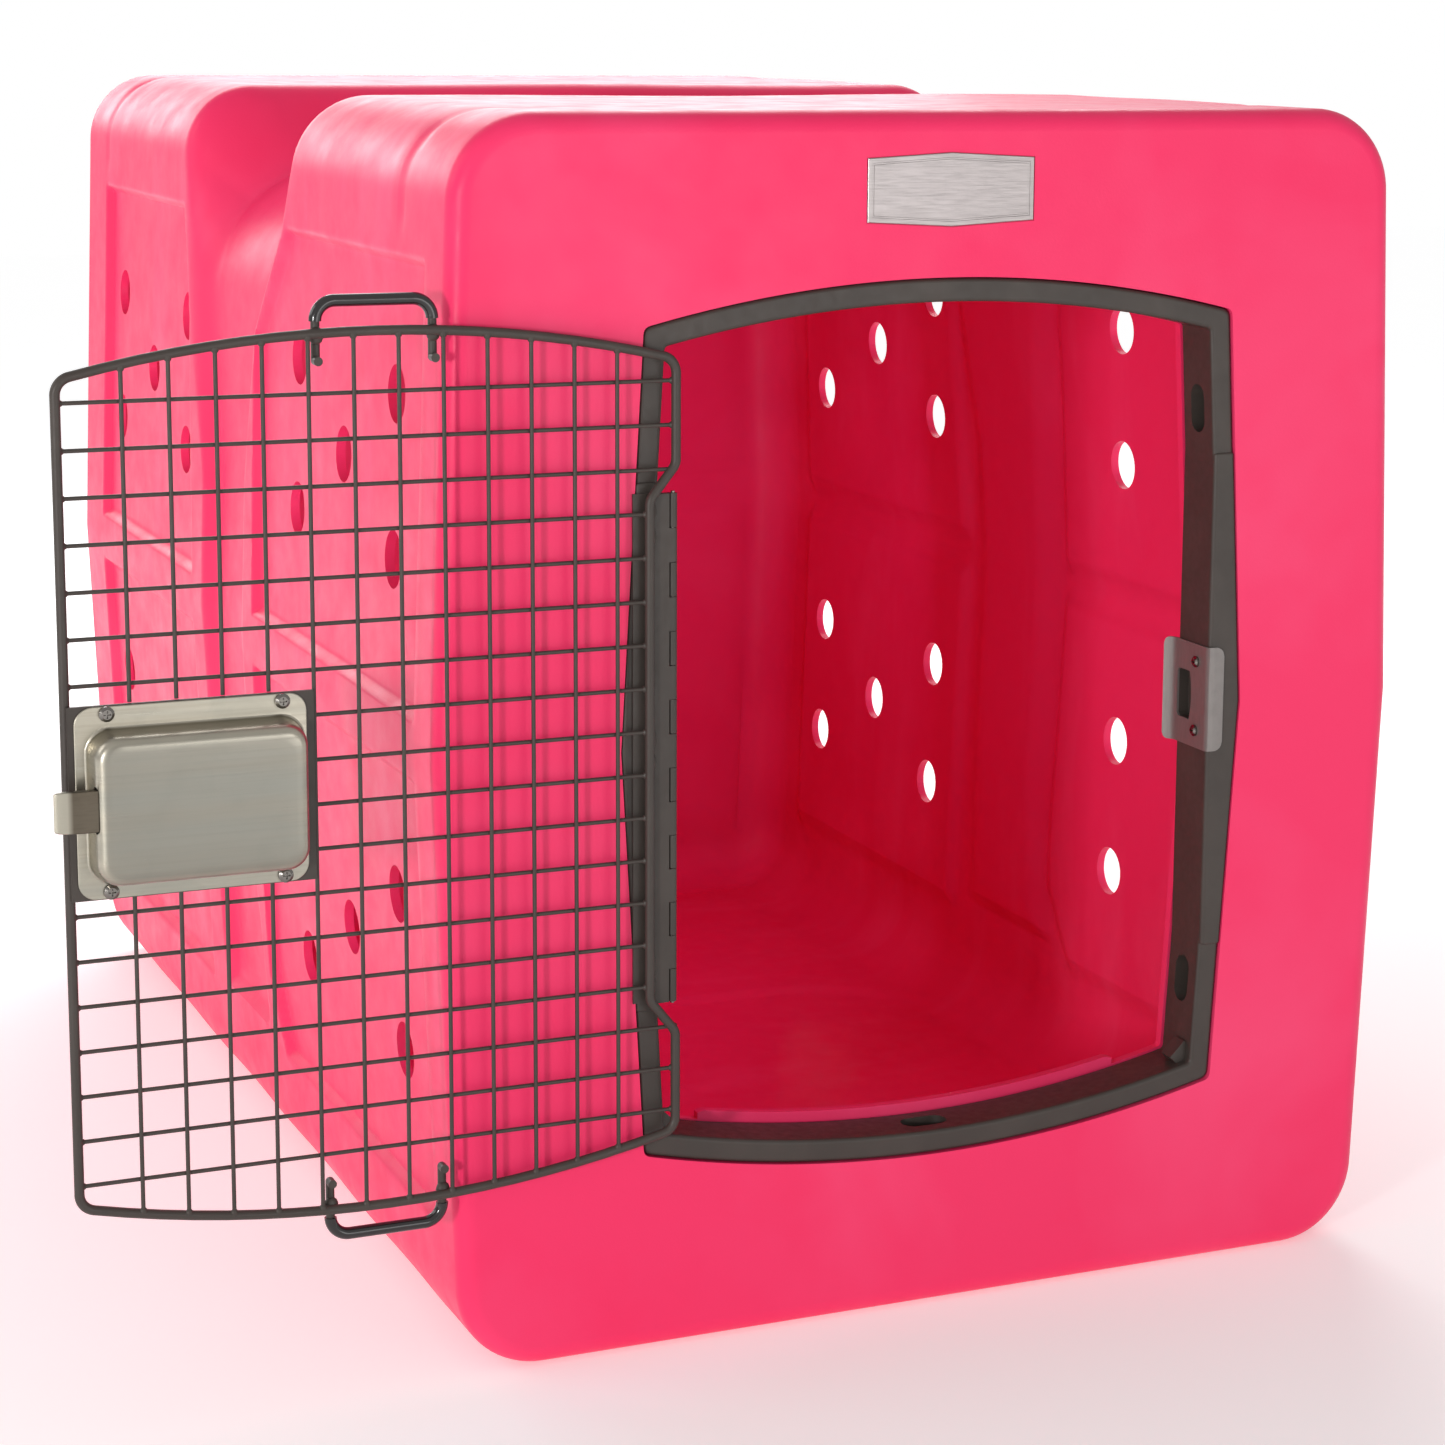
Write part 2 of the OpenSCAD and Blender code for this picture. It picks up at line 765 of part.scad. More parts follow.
// Pressed tray on the outside of the door, recessed inwards, which carries the paddle and the lock
module paddle_tray() {
    flange_w0 = plate_w0 - sheet_t;
    color(steel) from_front() on_door() difference() {
        union() {
            through_door(flange_w0, plate_w0) latch_rect(cover_w - 1, cover_h, 10);
            through_door(flange_w0, tray_back) latch_rect(tray_u, tray_h, 8);
            paddle_ears();
        }
        through_door(flange_w0 - 1, tray_back - sheet_t) difference() {
            latch_rect(tray_u - 2 * sheet_t, tray_h - 2 * sheet_t, 7);
            ear_keep_out();
        }
        translate([pivot_u - 12, tray_back - 3, latch_z - 6]) cube([17, 6, 12]);
        translate([pivot_u, pivot_w, latch_z - 50]) cylinder(r = pin_hole_r + 0.35, h = 100);
        translate([lock_u, tray_back - 5, lock_z]) rotate([-90, 0, 0]) cylinder(r = lock_r + 0.05, h = 10);
        latch_screw_holes(2.3);
    }
}

module ear_keep_out() {
    for (s = [-1, 1]) {
        translate([pivot_u - 5, latch_z + s * (paddle_h / 2 + 2) - 1]) square([10, 2]);
    }
}

module paddle_ears() {
    for (s = [-1, 1]) {
        translate([pivot_u - 5, pivot_w - 5, latch_z + s * (paddle_h / 2 + 2) - 1]) cube([10, tray_back - pivot_w + 4, 2]);
    }
}

// Paddle that is pulled outwards at its far edge; its lever reaches in through the tray to the bolt
module paddle() {
    eye_r = 3.4;
    lever_r = 2;
    color(black) from_front() on_door() difference() {
        union() {
            through_door(paddle_face_w, paddle_face_w + paddle_t)
                rounded_block(paddle_far_u, pivot_u + 3, latch_z - paddle_h / 2, latch_z + paddle_h / 2, 5);
            translate([pivot_u - eye_r, paddle_face_w, latch_z - 27]) cube([2 * eye_r, pivot_w - paddle_face_w, 8]);
            translate([pivot_u - eye_r, paddle_face_w, latch_z + 19]) cube([2 * eye_r, pivot_w - paddle_face_w, 8]);
            translate([pivot_u, pivot_w, latch_z - 27]) cylinder(r = eye_r, h = 54);
            translate([pivot_u - lever_r, pivot_w, latch_z - 4]) cube([2 * lever_r, lever_l, 8]);
        }
        translate([pivot_u, pivot_w, latch_z - 40]) cylinder(r = pin_hole_r + 0.35, h = 80);
    }
}

module paddle_pin() {
    color(steel) from_front() on_door() translate([pivot_u, pivot_w, latch_z - paddle_h / 2 - 4]) cylinder(r = pin_hole_r + 0.3, h = paddle_h + 8);
}

// Torsion spring on the paddle's pin, drawn as its coil envelope
module paddle_spring() {
    color(steel) from_front() on_door() translate([pivot_u, pivot_w, latch_z + 27.5]) difference() {
        cylinder(r = 2.9, h = 3.8);
        translate([0, 0, -1]) cylinder(r = 1.8, h = 6);
    }
}

// Sprung bolt with a bevelled nose; the paddle's lever sits in its window
module latch_bolt() {
    color(steel) from_front() on_door() difference() {
        translate([0, 0, latch_z - bolt_h / 2]) linear_extrude(bolt_h) polygon([
            [bolt_tail_u, bolt_w0], [bolt_tip_u - 6, bolt_w0], [bolt_tip_u, bolt_w0 - 0.2 + bolt_t * 0.7],
            [bolt_tip_u, bolt_w0 + bolt_t], [bolt_tail_u, bolt_w0 + bolt_t]
        ]);
        translate([pivot_u - 5, bolt_w0 - 1, latch_z - 5]) cube([11, bolt_t + 2, 10]);
    }
}

// Compression spring behind the bolt's tail
module bolt_spring() {
    coil_r = 3.6;
    turns = 7;
    start_u = latch_u - box_u / 2 + 5.2;
    pitch = (bolt_tail_u - start_u) / turns;
    color(steel) from_front() on_door() for (i = [0:turns - 1]) {
        translate([start_u + (i + 0.5) * pitch, bolt_w0 + bolt_t / 2, latch_z]) rotate([0, 90, 0])
            rotate_extrude() translate([coil_r, 0]) circle(r = 0.6);
    }
}

// Lock cylinder: a barrel through the tray, its nut behind, and the plug that the key turns
module lock_barrel() {
    color(steel) from_front() on_door() translate([lock_u, lock_w0, lock_z]) rotate([-90, 0, 0]) difference() {
        union() {
            cylinder(r = lock_r + 1.6, h = bezel_t);
            cylinder(r = lock_r, h = barrel_l);
        }
        translate([0, 0, -1]) cylinder(r = plug_r + 0.05, h = 20);
    }
}

module lock_nut() {
    color(steel) from_front() on_door() translate([lock_u, tray_back + 0.1, lock_z]) rotate([-90, 0, 0]) difference() {
        cylinder(r = lock_r + 2.6, h = 2.5, $fn = 6);
        translate([0, 0, -1]) cylinder(r = lock_r + 0.05, h = 5);
    }
}

module lock_plug() {
    color(steel) from_front() on_door() translate([lock_u, lock_w0 - 0.2, lock_z]) rotate([-90, 0, 0]) difference() {
        union() {
            cylinder(r = plug_r, h = barrel_l + 0.4);
            translate([-2, -plug_r - 3, barrel_l + 0.4]) cube([4, 2 * plug_r + 3, 1.5]);
        }
        translate([-0.6, -2.6, -1]) cube([1.2, 5.2, 7]);
    }
}

body_shell();
name_plate();
frame_upper_tube();
frame_lower_tube();
frame_sleeve_left();
frame_sleeve_right();
frame_corner_pads();
frame_screws();
strike_plate();
strike_screws();
hinge_frame_leaf();
hinge_pin();
hinge_door_leaf();
door_rim();
mesh_vertical_wires();
mesh_horizontal_wires();
stop_loop_top();
stop_loop_bottom();
loop_sleeve_top();
loop_sleeve_bottom();
latch_back_plate();
latch_cover();
cover_screws();
paddle_tray();
lock_barrel();
lock_nut();
paddle();
paddle_pin();
paddle_spring();
latch_bolt();
bolt_spring();
lock_plug();
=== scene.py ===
import math
import random

import bmesh
import bpy
import numpy as np
from mathutils import Matrix, Vector


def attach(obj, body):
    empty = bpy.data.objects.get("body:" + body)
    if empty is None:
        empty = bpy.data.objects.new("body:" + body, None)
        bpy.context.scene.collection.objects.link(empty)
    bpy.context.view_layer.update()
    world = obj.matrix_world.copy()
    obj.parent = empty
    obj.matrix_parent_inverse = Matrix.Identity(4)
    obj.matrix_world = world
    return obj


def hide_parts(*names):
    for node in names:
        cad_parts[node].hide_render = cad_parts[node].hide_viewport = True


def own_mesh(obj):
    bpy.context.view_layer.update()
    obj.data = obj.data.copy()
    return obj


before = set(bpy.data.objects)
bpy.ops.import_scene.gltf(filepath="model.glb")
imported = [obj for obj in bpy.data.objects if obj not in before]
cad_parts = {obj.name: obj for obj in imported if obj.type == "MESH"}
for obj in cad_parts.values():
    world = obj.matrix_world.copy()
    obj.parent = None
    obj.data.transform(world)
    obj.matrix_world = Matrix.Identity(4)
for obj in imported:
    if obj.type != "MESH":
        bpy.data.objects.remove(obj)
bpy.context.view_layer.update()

MM = 0.001
# shapes are drawn in millimetres with Y counted from the shell's front, 490 mm before the frame's origin
FRONT_SHIFT = np.array([0.0, -490.0, 0.0])
X, Y, Z = range(3)
# how far a cutter reaches past what it cuts
CLEAR = 9.0

# ---- the shell: HALF_MID and HALF_END are half its width at mid height and at top and bottom ----
HALF_MID = 318.0
HALF_END = 306.0
BODY_H = 734.0
BODY_L = 980.0
MID_Z = BODY_H / 2
MIDDLE = np.array([0.0, MID_Z])
WALL = 6.0
CORNER_R = 52.0
EDGE_R = 12.0
INNER_BACK_R = 34.0
VENT_R = 17.5
VENT_DY = 109.0
VENT_DZ = 49.0
VENT_ROWS = (MID_Z - 151.0, MID_Z + 151.0)
VENT_COLUMNS = (222.0, 752.0)
VENT_FIVE = ((0, 0), (-1, -1), (-1, 1), (1, -1), (1, 1))
VENT_REACH = 400.0

# ---- sunk areas of the shell: outlines in Y and Z on its sides, in X and Z on its back ----
WAIST_SIDE = 9.0
WAIST_TOP = 55.0
WAIST_TOP_R = 95.0
WAIST_FOOT = 90.0
WAIST_RAMP = 16
WAIST_RAMP_MORE = 32
WAIST_WIDENS_Z = 450
WAIST_WIDENS_RUN = 140
WAIST = [
    (362, 784), (362, 690), (378, 655), (446, 580), (455, 460), (455, 190), (440, 90), (545, 90),
    (553, 190), (560, 460), (590, 580), (606, 655), (612, 690), (612, 784),
]
PANEL_DEPTH = 6.0
PANEL_RAMP = 7.0
PANELS = [
    [(48, 387), (418, 387), (424, 573), (348, 647), (48, 647)],
    [(48, 84), (385, 84), (422, 135), (424, 186), (418, 347), (48, 347)],
    [(600, 387), (902, 387), (902, 647), (640, 647), (618, 573)],
    [(600, 347), (598, 84), (902, 84), (902, 347)],
]
BACK_PANEL_DEPTH = 5.0
BACK_PANEL_RAMP = 14.0
BACK_PANELS = [
    [(-262, 62), (262, 62), (262, 350), (-262, 350)],
    [(-262, 395), (262, 395), (240, 672), (-240, 672)],
]
CREASE_Y = (93.0, 900.0)
CREASE_DEPTH = 1.5
CREASE_HALF_W = 8.0
WAVE_HEIGHT = 0.42
WELL_X = 268.0
WELL_Y = 640.0
WELL_R = 125.0
WELL_DEPTH = 3.0
WELL_RAMP = 14

# ---- the shell's mesh: its spacing, and where along Y and Z it has to be finer ----
OUTSIDE_STEP = 5.2
INSIDE_STEP = 8.0
GROOVE_STEP = 2.0
# shares of the spacing: at a panel's edge, on the waist's slanted edges, and elsewhere along Y
FINE = 0.42
SLANT = 0.62
COARSE = 1.25
PANEL_EDGES_Y = (48, 93, 424, 600, 900)
PANEL_EDGES_Z = (84.0, 347.0, 387.0, 647.0)
WAIST_SLANTS_Y = ((342, 466), (540, 652))
# rough lengths, divided by the spacing: a corner's arc, and the back from its edge to its middle
CORNER_RUN = 90.0
BACK_RUN = 230.0

# ---- the name plate: its profile is (inset, y) from back to face, engraved between rings 4 and 7 ----
PLATE_Z = 688.0
PLATE_HALF_W = 54.0
PLATE_SIDE = 18.5
PLATE_APEX = 21.5
PLATE_PROFILE = (
    (0.1, 1.15), (0.0, 0.9), (0.0, -0.05), (0.4, -0.4),
    (2.7, -0.42), (2.9, -0.12), (3.7, -0.12), (3.9, -0.42),
)
ENGRAVED_FROM, ENGRAVED_TO = 4, 7
PLATE_SEAT_GAP = 0.5
PLATE_SEAT_DEPTH = 1.2

# ---- the door frame ----
FRAME_MID = 206.0
FRAME_CORNER = 192.0
FRAME_HALF_H = 269.0
ARCH_DROP = 24.0
ARCH_V = FRAME_HALF_H - ARCH_DROP
ARCH_R = (FRAME_CORNER ** 2 + ARCH_DROP ** 2) / (2 * ARCH_DROP)
TUBE_W = 14.0
TUBE_FRONT = 1.3
TUBE_BACK = 38.3
TUBE_WALL = 2.2
POCKET_GAP = 0.6
POCKET_D = 39.5
LIP_REACH = 20.0
LIP_HALF = 143.0
LIP_END_DROP = 2.0
SLEEVE_X = 183.4
SLEEVE_HALF = 157.0
SLEEVE_D = 39.2
SLEEVE_GROW = 0.4
SLEEVE_EDGE = 1.4
SLOT_Z = 183.0
SLOT_HALF = 15.0
SLOT_R = 8.0
SLOT_Y = 19.8
STRIKE_Z = MID_Z + 2.0
STRIKE_HALF = 33.0
STRIKE_T = 1.4
STRIKE_FRONT_R = 6.0
STRIKE_BACK_R = 4.0
STRIKE_SCREW_Y = 13.0
STRIKE_SCREW_DZ = 22.0
KEEPER_Y = 24.0
KEEPER_Z = MID_Z + 1.0
KEEPER_HALF = 15.5

# ---- the door's own measures: U away from the hinge, V up from the middle, W into the cabin when shut ----
HINGE_X = -175.8
HINGE_Y = -2.5
DOOR_W = 350.0
DOOR_HALF_H = 249.5
DOOR_ARCH_R = 725.0
RIM_W = 5.0
RIM_R = 2.8
MESH_FIRST = 36.0
MESH_PITCH = 25.4
MESH_UPRIGHTS = 12
MESH_CROSSBARS = 18
JOG_U = 16.0
JOG_HALF = 154.0
HINGE_WELD_U = 13.6
HINGE_WELDS = (-140, -128, -6, 8, 126, 141)
LOOP_HALF = 33.0
LATCH_U = 281.0
BACK_PLATE_HALF = 53.5
COVER_SCREW_U = 48.0
COVER_SCREW_V = 49.0
SCREW_EDGE = 0.45
BOLT_W = 26.0
BOLT_HALF = 11.5
SPRING_R = 3.6
SPRING_WIRE = 0.6
SPRING_U0 = 227.9
SPRING_TURNS = 9
SPRING_PITCH = 5.2
SPRING_CLOSED = 1.3
WIRE_BEAD = (2.3, 1.9, 3.0)
CROSSBAR_BEAD = (3.0, 1.9, 2.3)
HINGE_BEAD = (2.6, 2.2, 6.0)
LOOP_BEAD = (4.2, 3.0, 5.2)


# ---- mesh helpers: a shape is (points, faces), a ring is a closed row of points ----

def smooth01(x):
    """An S curve from 0 at 0 to 1 at 1, flat outside them."""
    x = np.clip(x, 0.0, 1.0)
    return x * x * (3 - 2 * x)


def unit(vector):
    return vector / np.linalg.norm(vector)


def polygon_distance(a, b, outline):
    """Distance of points (a, b) from an outline, negative inside it."""
    corners = np.array(outline, float)
    best = np.full(a.shape, 1e9)
    inside = np.zeros(a.shape, bool)
    for (pa, pb), (qa, qb) in zip(corners, np.roll(corners, -1, 0)):
        ea, eb = qa - pa, qb - pb
        t = np.clip(((a - pa) * ea + (b - pb) * eb) / (ea * ea + eb * eb), 0, 1)
        best = np.minimum(best, np.hypot(a - pa - t * ea, b - pb - t * eb))
        if eb:
            crosses = (pb > b) != (qb > b)
            inside ^= crosses & (a < pa + (b - pb) * ea / eb)
    return np.where(inside, -best, best)


def make_object(name, points, faces):
    mesh = bpy.data.meshes.new(name)
    mesh.from_pydata(((np.asarray(points, float) + FRONT_SHIFT) * MM).tolist(), [], faces)
    mesh.update()
    obj = bpy.data.objects.new(name, mesh)
    bpy.context.scene.collection.objects.link(obj)
    return obj


def solid(name, shape):
    """An object from closed surfaces, every one of them turned to face outwards."""
    obj = make_object(name, *shape)
    work = bmesh.new()
    work.from_mesh(obj.data)
    bmesh.ops.recalc_face_normals(work, faces=work.faces)
    work.to_mesh(obj.data)
    work.free()
    return obj


def loft(rings, closed=False):
    """A skin over rings of equal count: capped at both ends, or closed from the last to the first."""
    count = len(rings[0])
    points = np.concatenate([np.asarray(ring, float) for ring in rings])
    faces = []
    for k in range(len(rings) if closed else len(rings) - 1):
        low, high = k * count, (k + 1) % len(rings) * count
        for i in range(count):
            j = (i + 1) % count
            faces.append((low + i, low + j, high + j, high + i))
    if not closed:
        faces.append(tuple(range(count))[::-1])
        faces.append(tuple(range(len(points) - count, len(points))))
    return points, faces


def level(outline, axis, value):
    """A ring from an outline in two of X, Y and Z, with value for the third."""
    return np.insert(np.asarray(outline, float), axis, value, axis=1)


def prism(outline, axis, start, stop):
    return loft([level(outline, axis, value) for value in (start, stop)])


def cylinder(start, stop, radius, count=24):
    start, stop = Vector(start), Vector(stop)
    turn = Vector((0, 0, 1)).rotation_difference(stop - start).to_matrix()
    rings = []
    for centre in (start, stop):
        ring = []
        for a in np.linspace(0, 2 * math.pi, count, endpoint=False):
            ring.append(list(centre + turn @ Vector((radius * math.cos(a), radius * math.sin(a), 0))))
        rings.append(ring)
    return loft(rings)


def merge(shapes):
    """Several shapes as one."""
    points, faces, base = [], [], 0
    for shape_points, shape_faces in shapes:
        points.append(shape_points)
        faces += [tuple(base + i for i in face) for face in shape_faces]
        base += len(shape_points)
    return np.concatenate(points), faces


def cut(obj, shape, operation="DIFFERENCE"):
    """A boolean of obj with a closed shape, applied at once."""
    cutter = solid("cutter", shape)
    boolean = obj.modifiers.new("cut", "BOOLEAN")
    boolean.operation = operation
    boolean.solver = "MANIFOLD"
    boolean.object = cutter
    graph = bpy.context.evaluated_depsgraph_get()
    mesh = bpy.data.meshes.new_from_object(obj.evaluated_get(graph))
    obj.modifiers.clear()
    obj.data = mesh
    bpy.data.objects.remove(cutter)


def soften(obj, angle):
    """Smooth shading, with creases where faces meet at more than angle degrees."""
    obj.data.shade_smooth()
    obj.data.set_sharp_from_angle(angle=math.radians(angle))
    normals = obj.modifiers.new("normals", "WEIGHTED_NORMAL")
    normals.keep_sharp = True
    normals.weight = 60
    return obj


def bevel(obj, width):
    edge = obj.modifiers.new("edge", "BEVEL")
    edge.width = width * MM
    edge.segments = 2
    edge.limit_method = "ANGLE"
    edge.angle_limit = math.radians(40)
    edge.use_clamp_overlap = True


# ---- outlines ----

def between(start, stop, fractions):
    share = fractions[:, None]
    return np.array(start, float) * (1 - share) + np.array(stop, float) * share


def line(start, stop, count):
    """Points from start towards stop, without stop itself."""
    return between(start, stop, np.arange(count) / count)


def arc(cx, cy, r, start, stop, count):
    """Points from start towards stop, both in degrees, without the last one."""
    a = np.radians(start + (stop - start) * np.arange(count) / count)
    return np.column_stack([cx + r * np.cos(a), cy + r * np.sin(a)])


def rounded_rect(half_w, half_h, r, arc_n, line_n, centre=(0.0, 0.0)):
    cx, cy = half_w - r, half_h - r
    outline = np.concatenate([
        line((half_w, -cy), (half_w, cy), line_n), arc(cx, cy, r, 0, 90, arc_n),
        line((cx, half_h), (-cx, half_h), line_n), arc(-cx, cy, r, 90, 180, arc_n),
        line((-half_w, cy), (-half_w, -cy), line_n), arc(-cx, -cy, r, 180, 270, arc_n),
        line((-cx, -half_h), (cx, -half_h), line_n), arc(cx, -cy, r, 270, 360, arc_n),
    ])
    return outline + np.array(centre)


# ---- the shell ----

def side_fractions(start, stop, step):
    """Fractions from height start to stop, closer together at the side panels' edges."""
    fine = step * FINE
    fractions, z = [], start
    while z < stop - 0.3 * fine:
        fractions.append((z - start) / (stop - start))
        near_edge = any(abs(z - edge) < 8 for edge in PANEL_EDGES_Z)
        z += fine if near_edge else step
    return np.array(fractions)


def section(t, step, side_in=0.0, top_in=0.0, top_r=CORNER_R):
    """An outline in X and Z: the shell's cross section with every face moved in by t."""
    side = HALF_MID - t - side_in
    end = HALF_END - t - side_in
    top = BODY_H - t - top_in
    low_r, up_r = CORNER_R - t, top_r - t
    flat_n = round((HALF_END - CORNER_R) / step)
    arc_n = round(CORNER_RUN / step)
    right = np.concatenate([
        line((0, t), (end - low_r, t), flat_n),
        arc(end - low_r, t + low_r, low_r, -90, 0, arc_n),
        between((end, t + low_r), (side, MID_Z), side_fractions(CORNER_R, MID_Z, step)),
        between((side, MID_Z), (end, top - up_r), side_fractions(MID_Z, BODY_H - CORNER_R, step)),
        arc(end - up_r, top - up_r, up_r, 0, 90, arc_n),
        line((end - up_r, top), (0, top), flat_n),
    ])
    left = right[1:][::-1] * np.array([-1, 1])
    return np.concatenate([right, [[0, top]], left])


def along_rays(ring, other):
    """Points of the outline other that lie in the same directions from the middle as ring's points."""
    ray, target = ring - MIDDLE, other - MIDDLE
    angle = np.arctan2(target[:, 1], target[:, 0])
    order = np.argsort(angle)
    ray_angle = np.arctan2(ray[:, 1], ray[:, 0])
    reach = np.interp(ray_angle, angle[order], np.hypot(*target.T)[order], period=2 * math.pi)
    return MIDDLE + ray * (reach / np.hypot(*ray.T))[:, None]


def shell_stations(t, step):
    """Stations from front to back: (y, how far the section is drawn in, how much of its size is left)."""
    front_r = EDGE_R - t
    back_r = INNER_BACK_R if t else EDGE_R
    rows = [(t, front_r + 3.0, 1.0), (t, front_r + 1.0, 1.0)]
    for turn in np.radians(np.linspace(0, 90, 9)):
        rows.append((t + front_r - front_r * math.cos(turn), front_r - front_r * math.sin(turn), 1.0))
    y = t + front_r
    while y < BODY_L - t - back_r - step:
        near_edge = any(abs(y - edge) < 9 for edge in PANEL_EDGES_Y)
        slanted = any(low < y < high for low, high in WAIST_SLANTS_Y)
        y += step * (FINE if near_edge else SLANT if slanted else COARSE)
        rows.append((y, 0.0, 1.0))
    for turn in np.radians(np.linspace(90, 0, 11)):
        rows.append((BODY_L - t - back_r * (1 - math.cos(turn)), back_r * (1 - math.sin(turn)), 1.0))
    for left in np.linspace(0.985, 0.05, round(BACK_RUN / step)):
        rows.append((BODY_L - t, back_r, left))
    return rows


def waist_share(y, z, t):
    """How far a point goes to the waist groove's section: the ramp is wide on top and short below."""
    high = smooth01((z - WAIST_WIDENS_Z) / WAIST_WIDENS_RUN)
    ramp = WAIST_RAMP + WAIST_RAMP_MORE * high + 4.0 * t * (1 - high)
    share = smooth01(0.5 - (polygon_distance(y, z, WAIST) - t) / ramp)
    return np.where(z < WAIST_FOOT, 0, share)


def panel_share(a, b, outlines, t, ramp):
    """How far a point (a, b) goes to the bottom of the panels with these outlines."""
    share = np.zeros_like(a)
    for outline in outlines:
        share = np.maximum(share, smooth01(0.5 - (polygon_distance(a, b, outline) - t) / ramp))
    return share


def wall_ripple(x, y, z):
    """Strap creases over the shoulders, and the slow waves of a moulded wall."""
    crease = sum(np.exp(-((y - at) / CREASE_HALF_W) ** 2) for at in CREASE_Y)
    crease = crease * smooth01((np.abs(x) - 205) / 30) * smooth01((z - 655) / 20)
    wave = np.sin(y / 47 + z / 71) * np.sin(x / 63 - y / 90)
    wave = wave + 0.7 * np.sin(z / 39 + x / 52 + 1.3) * np.sin(y / 33 + 0.6)
    fade = smooth01((y - 35) / 60) * smooth01((BODY_L - 30 - y) / 50)
    return WAVE_HEIGHT * wave * fade - CREASE_DEPTH * crease


def well_share(x, y):
    """How far a point of the floor goes to the bottom of its round-cornered well."""
    over = np.hypot(np.maximum(np.abs(x) - WELL_X + WELL_R, 0), np.maximum(y - WELL_Y + WELL_R, 0))
    return smooth01((WELL_R - over) / WELL_RAMP + 0.5)


def ring_normals(rings):
    tangent = np.roll(rings, -1, 1) - np.roll(rings, 1, 1)
    tangent /= np.linalg.norm(tangent, axis=2, keepdims=True) + 1e-9
    return np.stack([tangent[..., 1], -tangent[..., 0]], -1)


def shell_surface(t, step):
    """One closed surface of the shell: outside with t 0, inside with t the wall."""
    rows = shell_stations(t, step)
    base, groove = [], []
    for _, inset, left in rows:
        ring = section(t + inset, step)
        base.append(MIDDLE + (ring - MIDDLE) * left)
        sunk = section(t + inset, GROOVE_STEP, WAIST_SIDE, WAIST_TOP, WAIST_TOP_R)
        groove.append(along_rays(ring, sunk))
    base, groove = np.array(base), np.array(groove)
    x, z = base[..., 0], base[..., 1]
    y, left = (np.repeat([[row[i]] for row in rows], x.shape[1], 1) for i in (0, 2))
    on_back = left < 1
    waist = np.where(on_back, 0, waist_share(y, z, t))
    moved = base + (groove - base) * waist[..., None]
    panel = np.where(on_back, 0, panel_share(y, z, PANELS, t, PANEL_RAMP + 1.3 * t))
    moved[..., 0] -= np.sign(x) * PANEL_DEPTH * panel * smooth01((np.abs(x) - 240) / 30)
    moved += ring_normals(base) * wall_ripple(x, y, z)[..., None]
    back_panel = BACK_PANEL_DEPTH * panel_share(x, z, BACK_PANELS, t, BACK_PANEL_RAMP + 2.0 * t)
    y = y - np.where(on_back, back_panel, 0)
    if t:
        on_floor = (z < t + 2) & ~on_back
        moved[..., 1] -= np.where(on_floor, WELL_DEPTH * well_share(x, y), 0)
    return loft([level(outline, Y, row_y) for outline, row_y in zip(moved, y)])


def frame_side(v):
    """Half the door frame's outside width, v above or below its middle."""
    return FRAME_MID - (FRAME_MID - FRAME_CORNER) * abs(v) / ARCH_V


def frame_arch(x, grow):
    """Height of the door frame's upper edge above its middle, moved out by grow."""
    return FRAME_HALF_H - ARCH_R + np.sqrt((ARCH_R + grow) ** 2 - x * x)


def frame_ring(grow, round_r=4.0):
    """An outline in X and Z round the door frame, moved out by grow, its corners rounded."""
    v = ARCH_V
    for _ in range(12):
        v = frame_arch(frame_side(v) + grow, grow)
    corner = np.array([frame_side(v) + grow, v])
    up_side = unit(np.array([FRAME_CORNER - FRAME_MID, ARCH_V]))
    along_arch = unit(np.array([-1.0, corner[0] / math.sqrt((ARCH_R + grow) ** 2 - corner[0] ** 2)]))
    start, stop = corner - up_side * round_r, corner + along_arch * round_r
    t = np.linspace(0, 1, 5, endpoint=False)[:, None]
    fillet = start * (1 - t) ** 2 + corner * 2 * t * (1 - t) + stop * t ** 2
    xs = np.linspace(stop[0], 0, 26)
    top = np.column_stack([xs, frame_arch(xs, grow)])
    top[0] = stop
    quarter = np.concatenate([line((FRAME_MID + grow, 0), start, 24), fillet, top])
    half = np.concatenate([quarter, quarter[:-1][::-1] * np.array([-1, 1])])
    ring = np.concatenate([half, half[1:-1][::-1] * np.array([1, -1])])
    return ring + MIDDLE


def bottom_lip():
    """The raised edge of the opening behind the frame's lower tube."""
    xs = np.linspace(-LIP_HALF, LIP_HALF, 60)
    top = np.column_stack([xs, MID_Z - frame_arch(xs, -LIP_REACH)])
    top[[0, -1], 1] -= LIP_END_DROP
    foot = np.column_stack([xs, MID_Z - frame_arch(xs, -TUBE_W + 2.0)])
    return prism(np.concatenate([top, foot[::-1]]), Y, POCKET_D + 0.02, POCKET_D + WALL - 0.02)


def vent_tubes():
    """Cutters for the vents, each through both sides."""
    tubes = []
    for column in VENT_COLUMNS:
        for row in VENT_ROWS:
            for dy, dz in VENT_FIVE:
                y, z = column + dy * VENT_DY, row + dz * VENT_DZ
                tubes.append(cylinder((-VENT_REACH, y, z), (VENT_REACH, y, z), VENT_R, 48))
    return merge(tubes)


def plate_ring(inset):
    """The name plate's six-cornered outline in X and Z."""
    half_w, side, apex = PLATE_HALF_W - inset, PLATE_SIDE - inset, PLATE_APEX - inset
    corners = [(half_w, -side), (half_w, side), (0, apex), (-half_w, side), (-half_w, -side), (0, -apex)]
    outline = np.concatenate([line(corners[i], corners[(i + 1) % 6], 8) for i in range(6)])
    return outline + np.array([0, PLATE_Z])


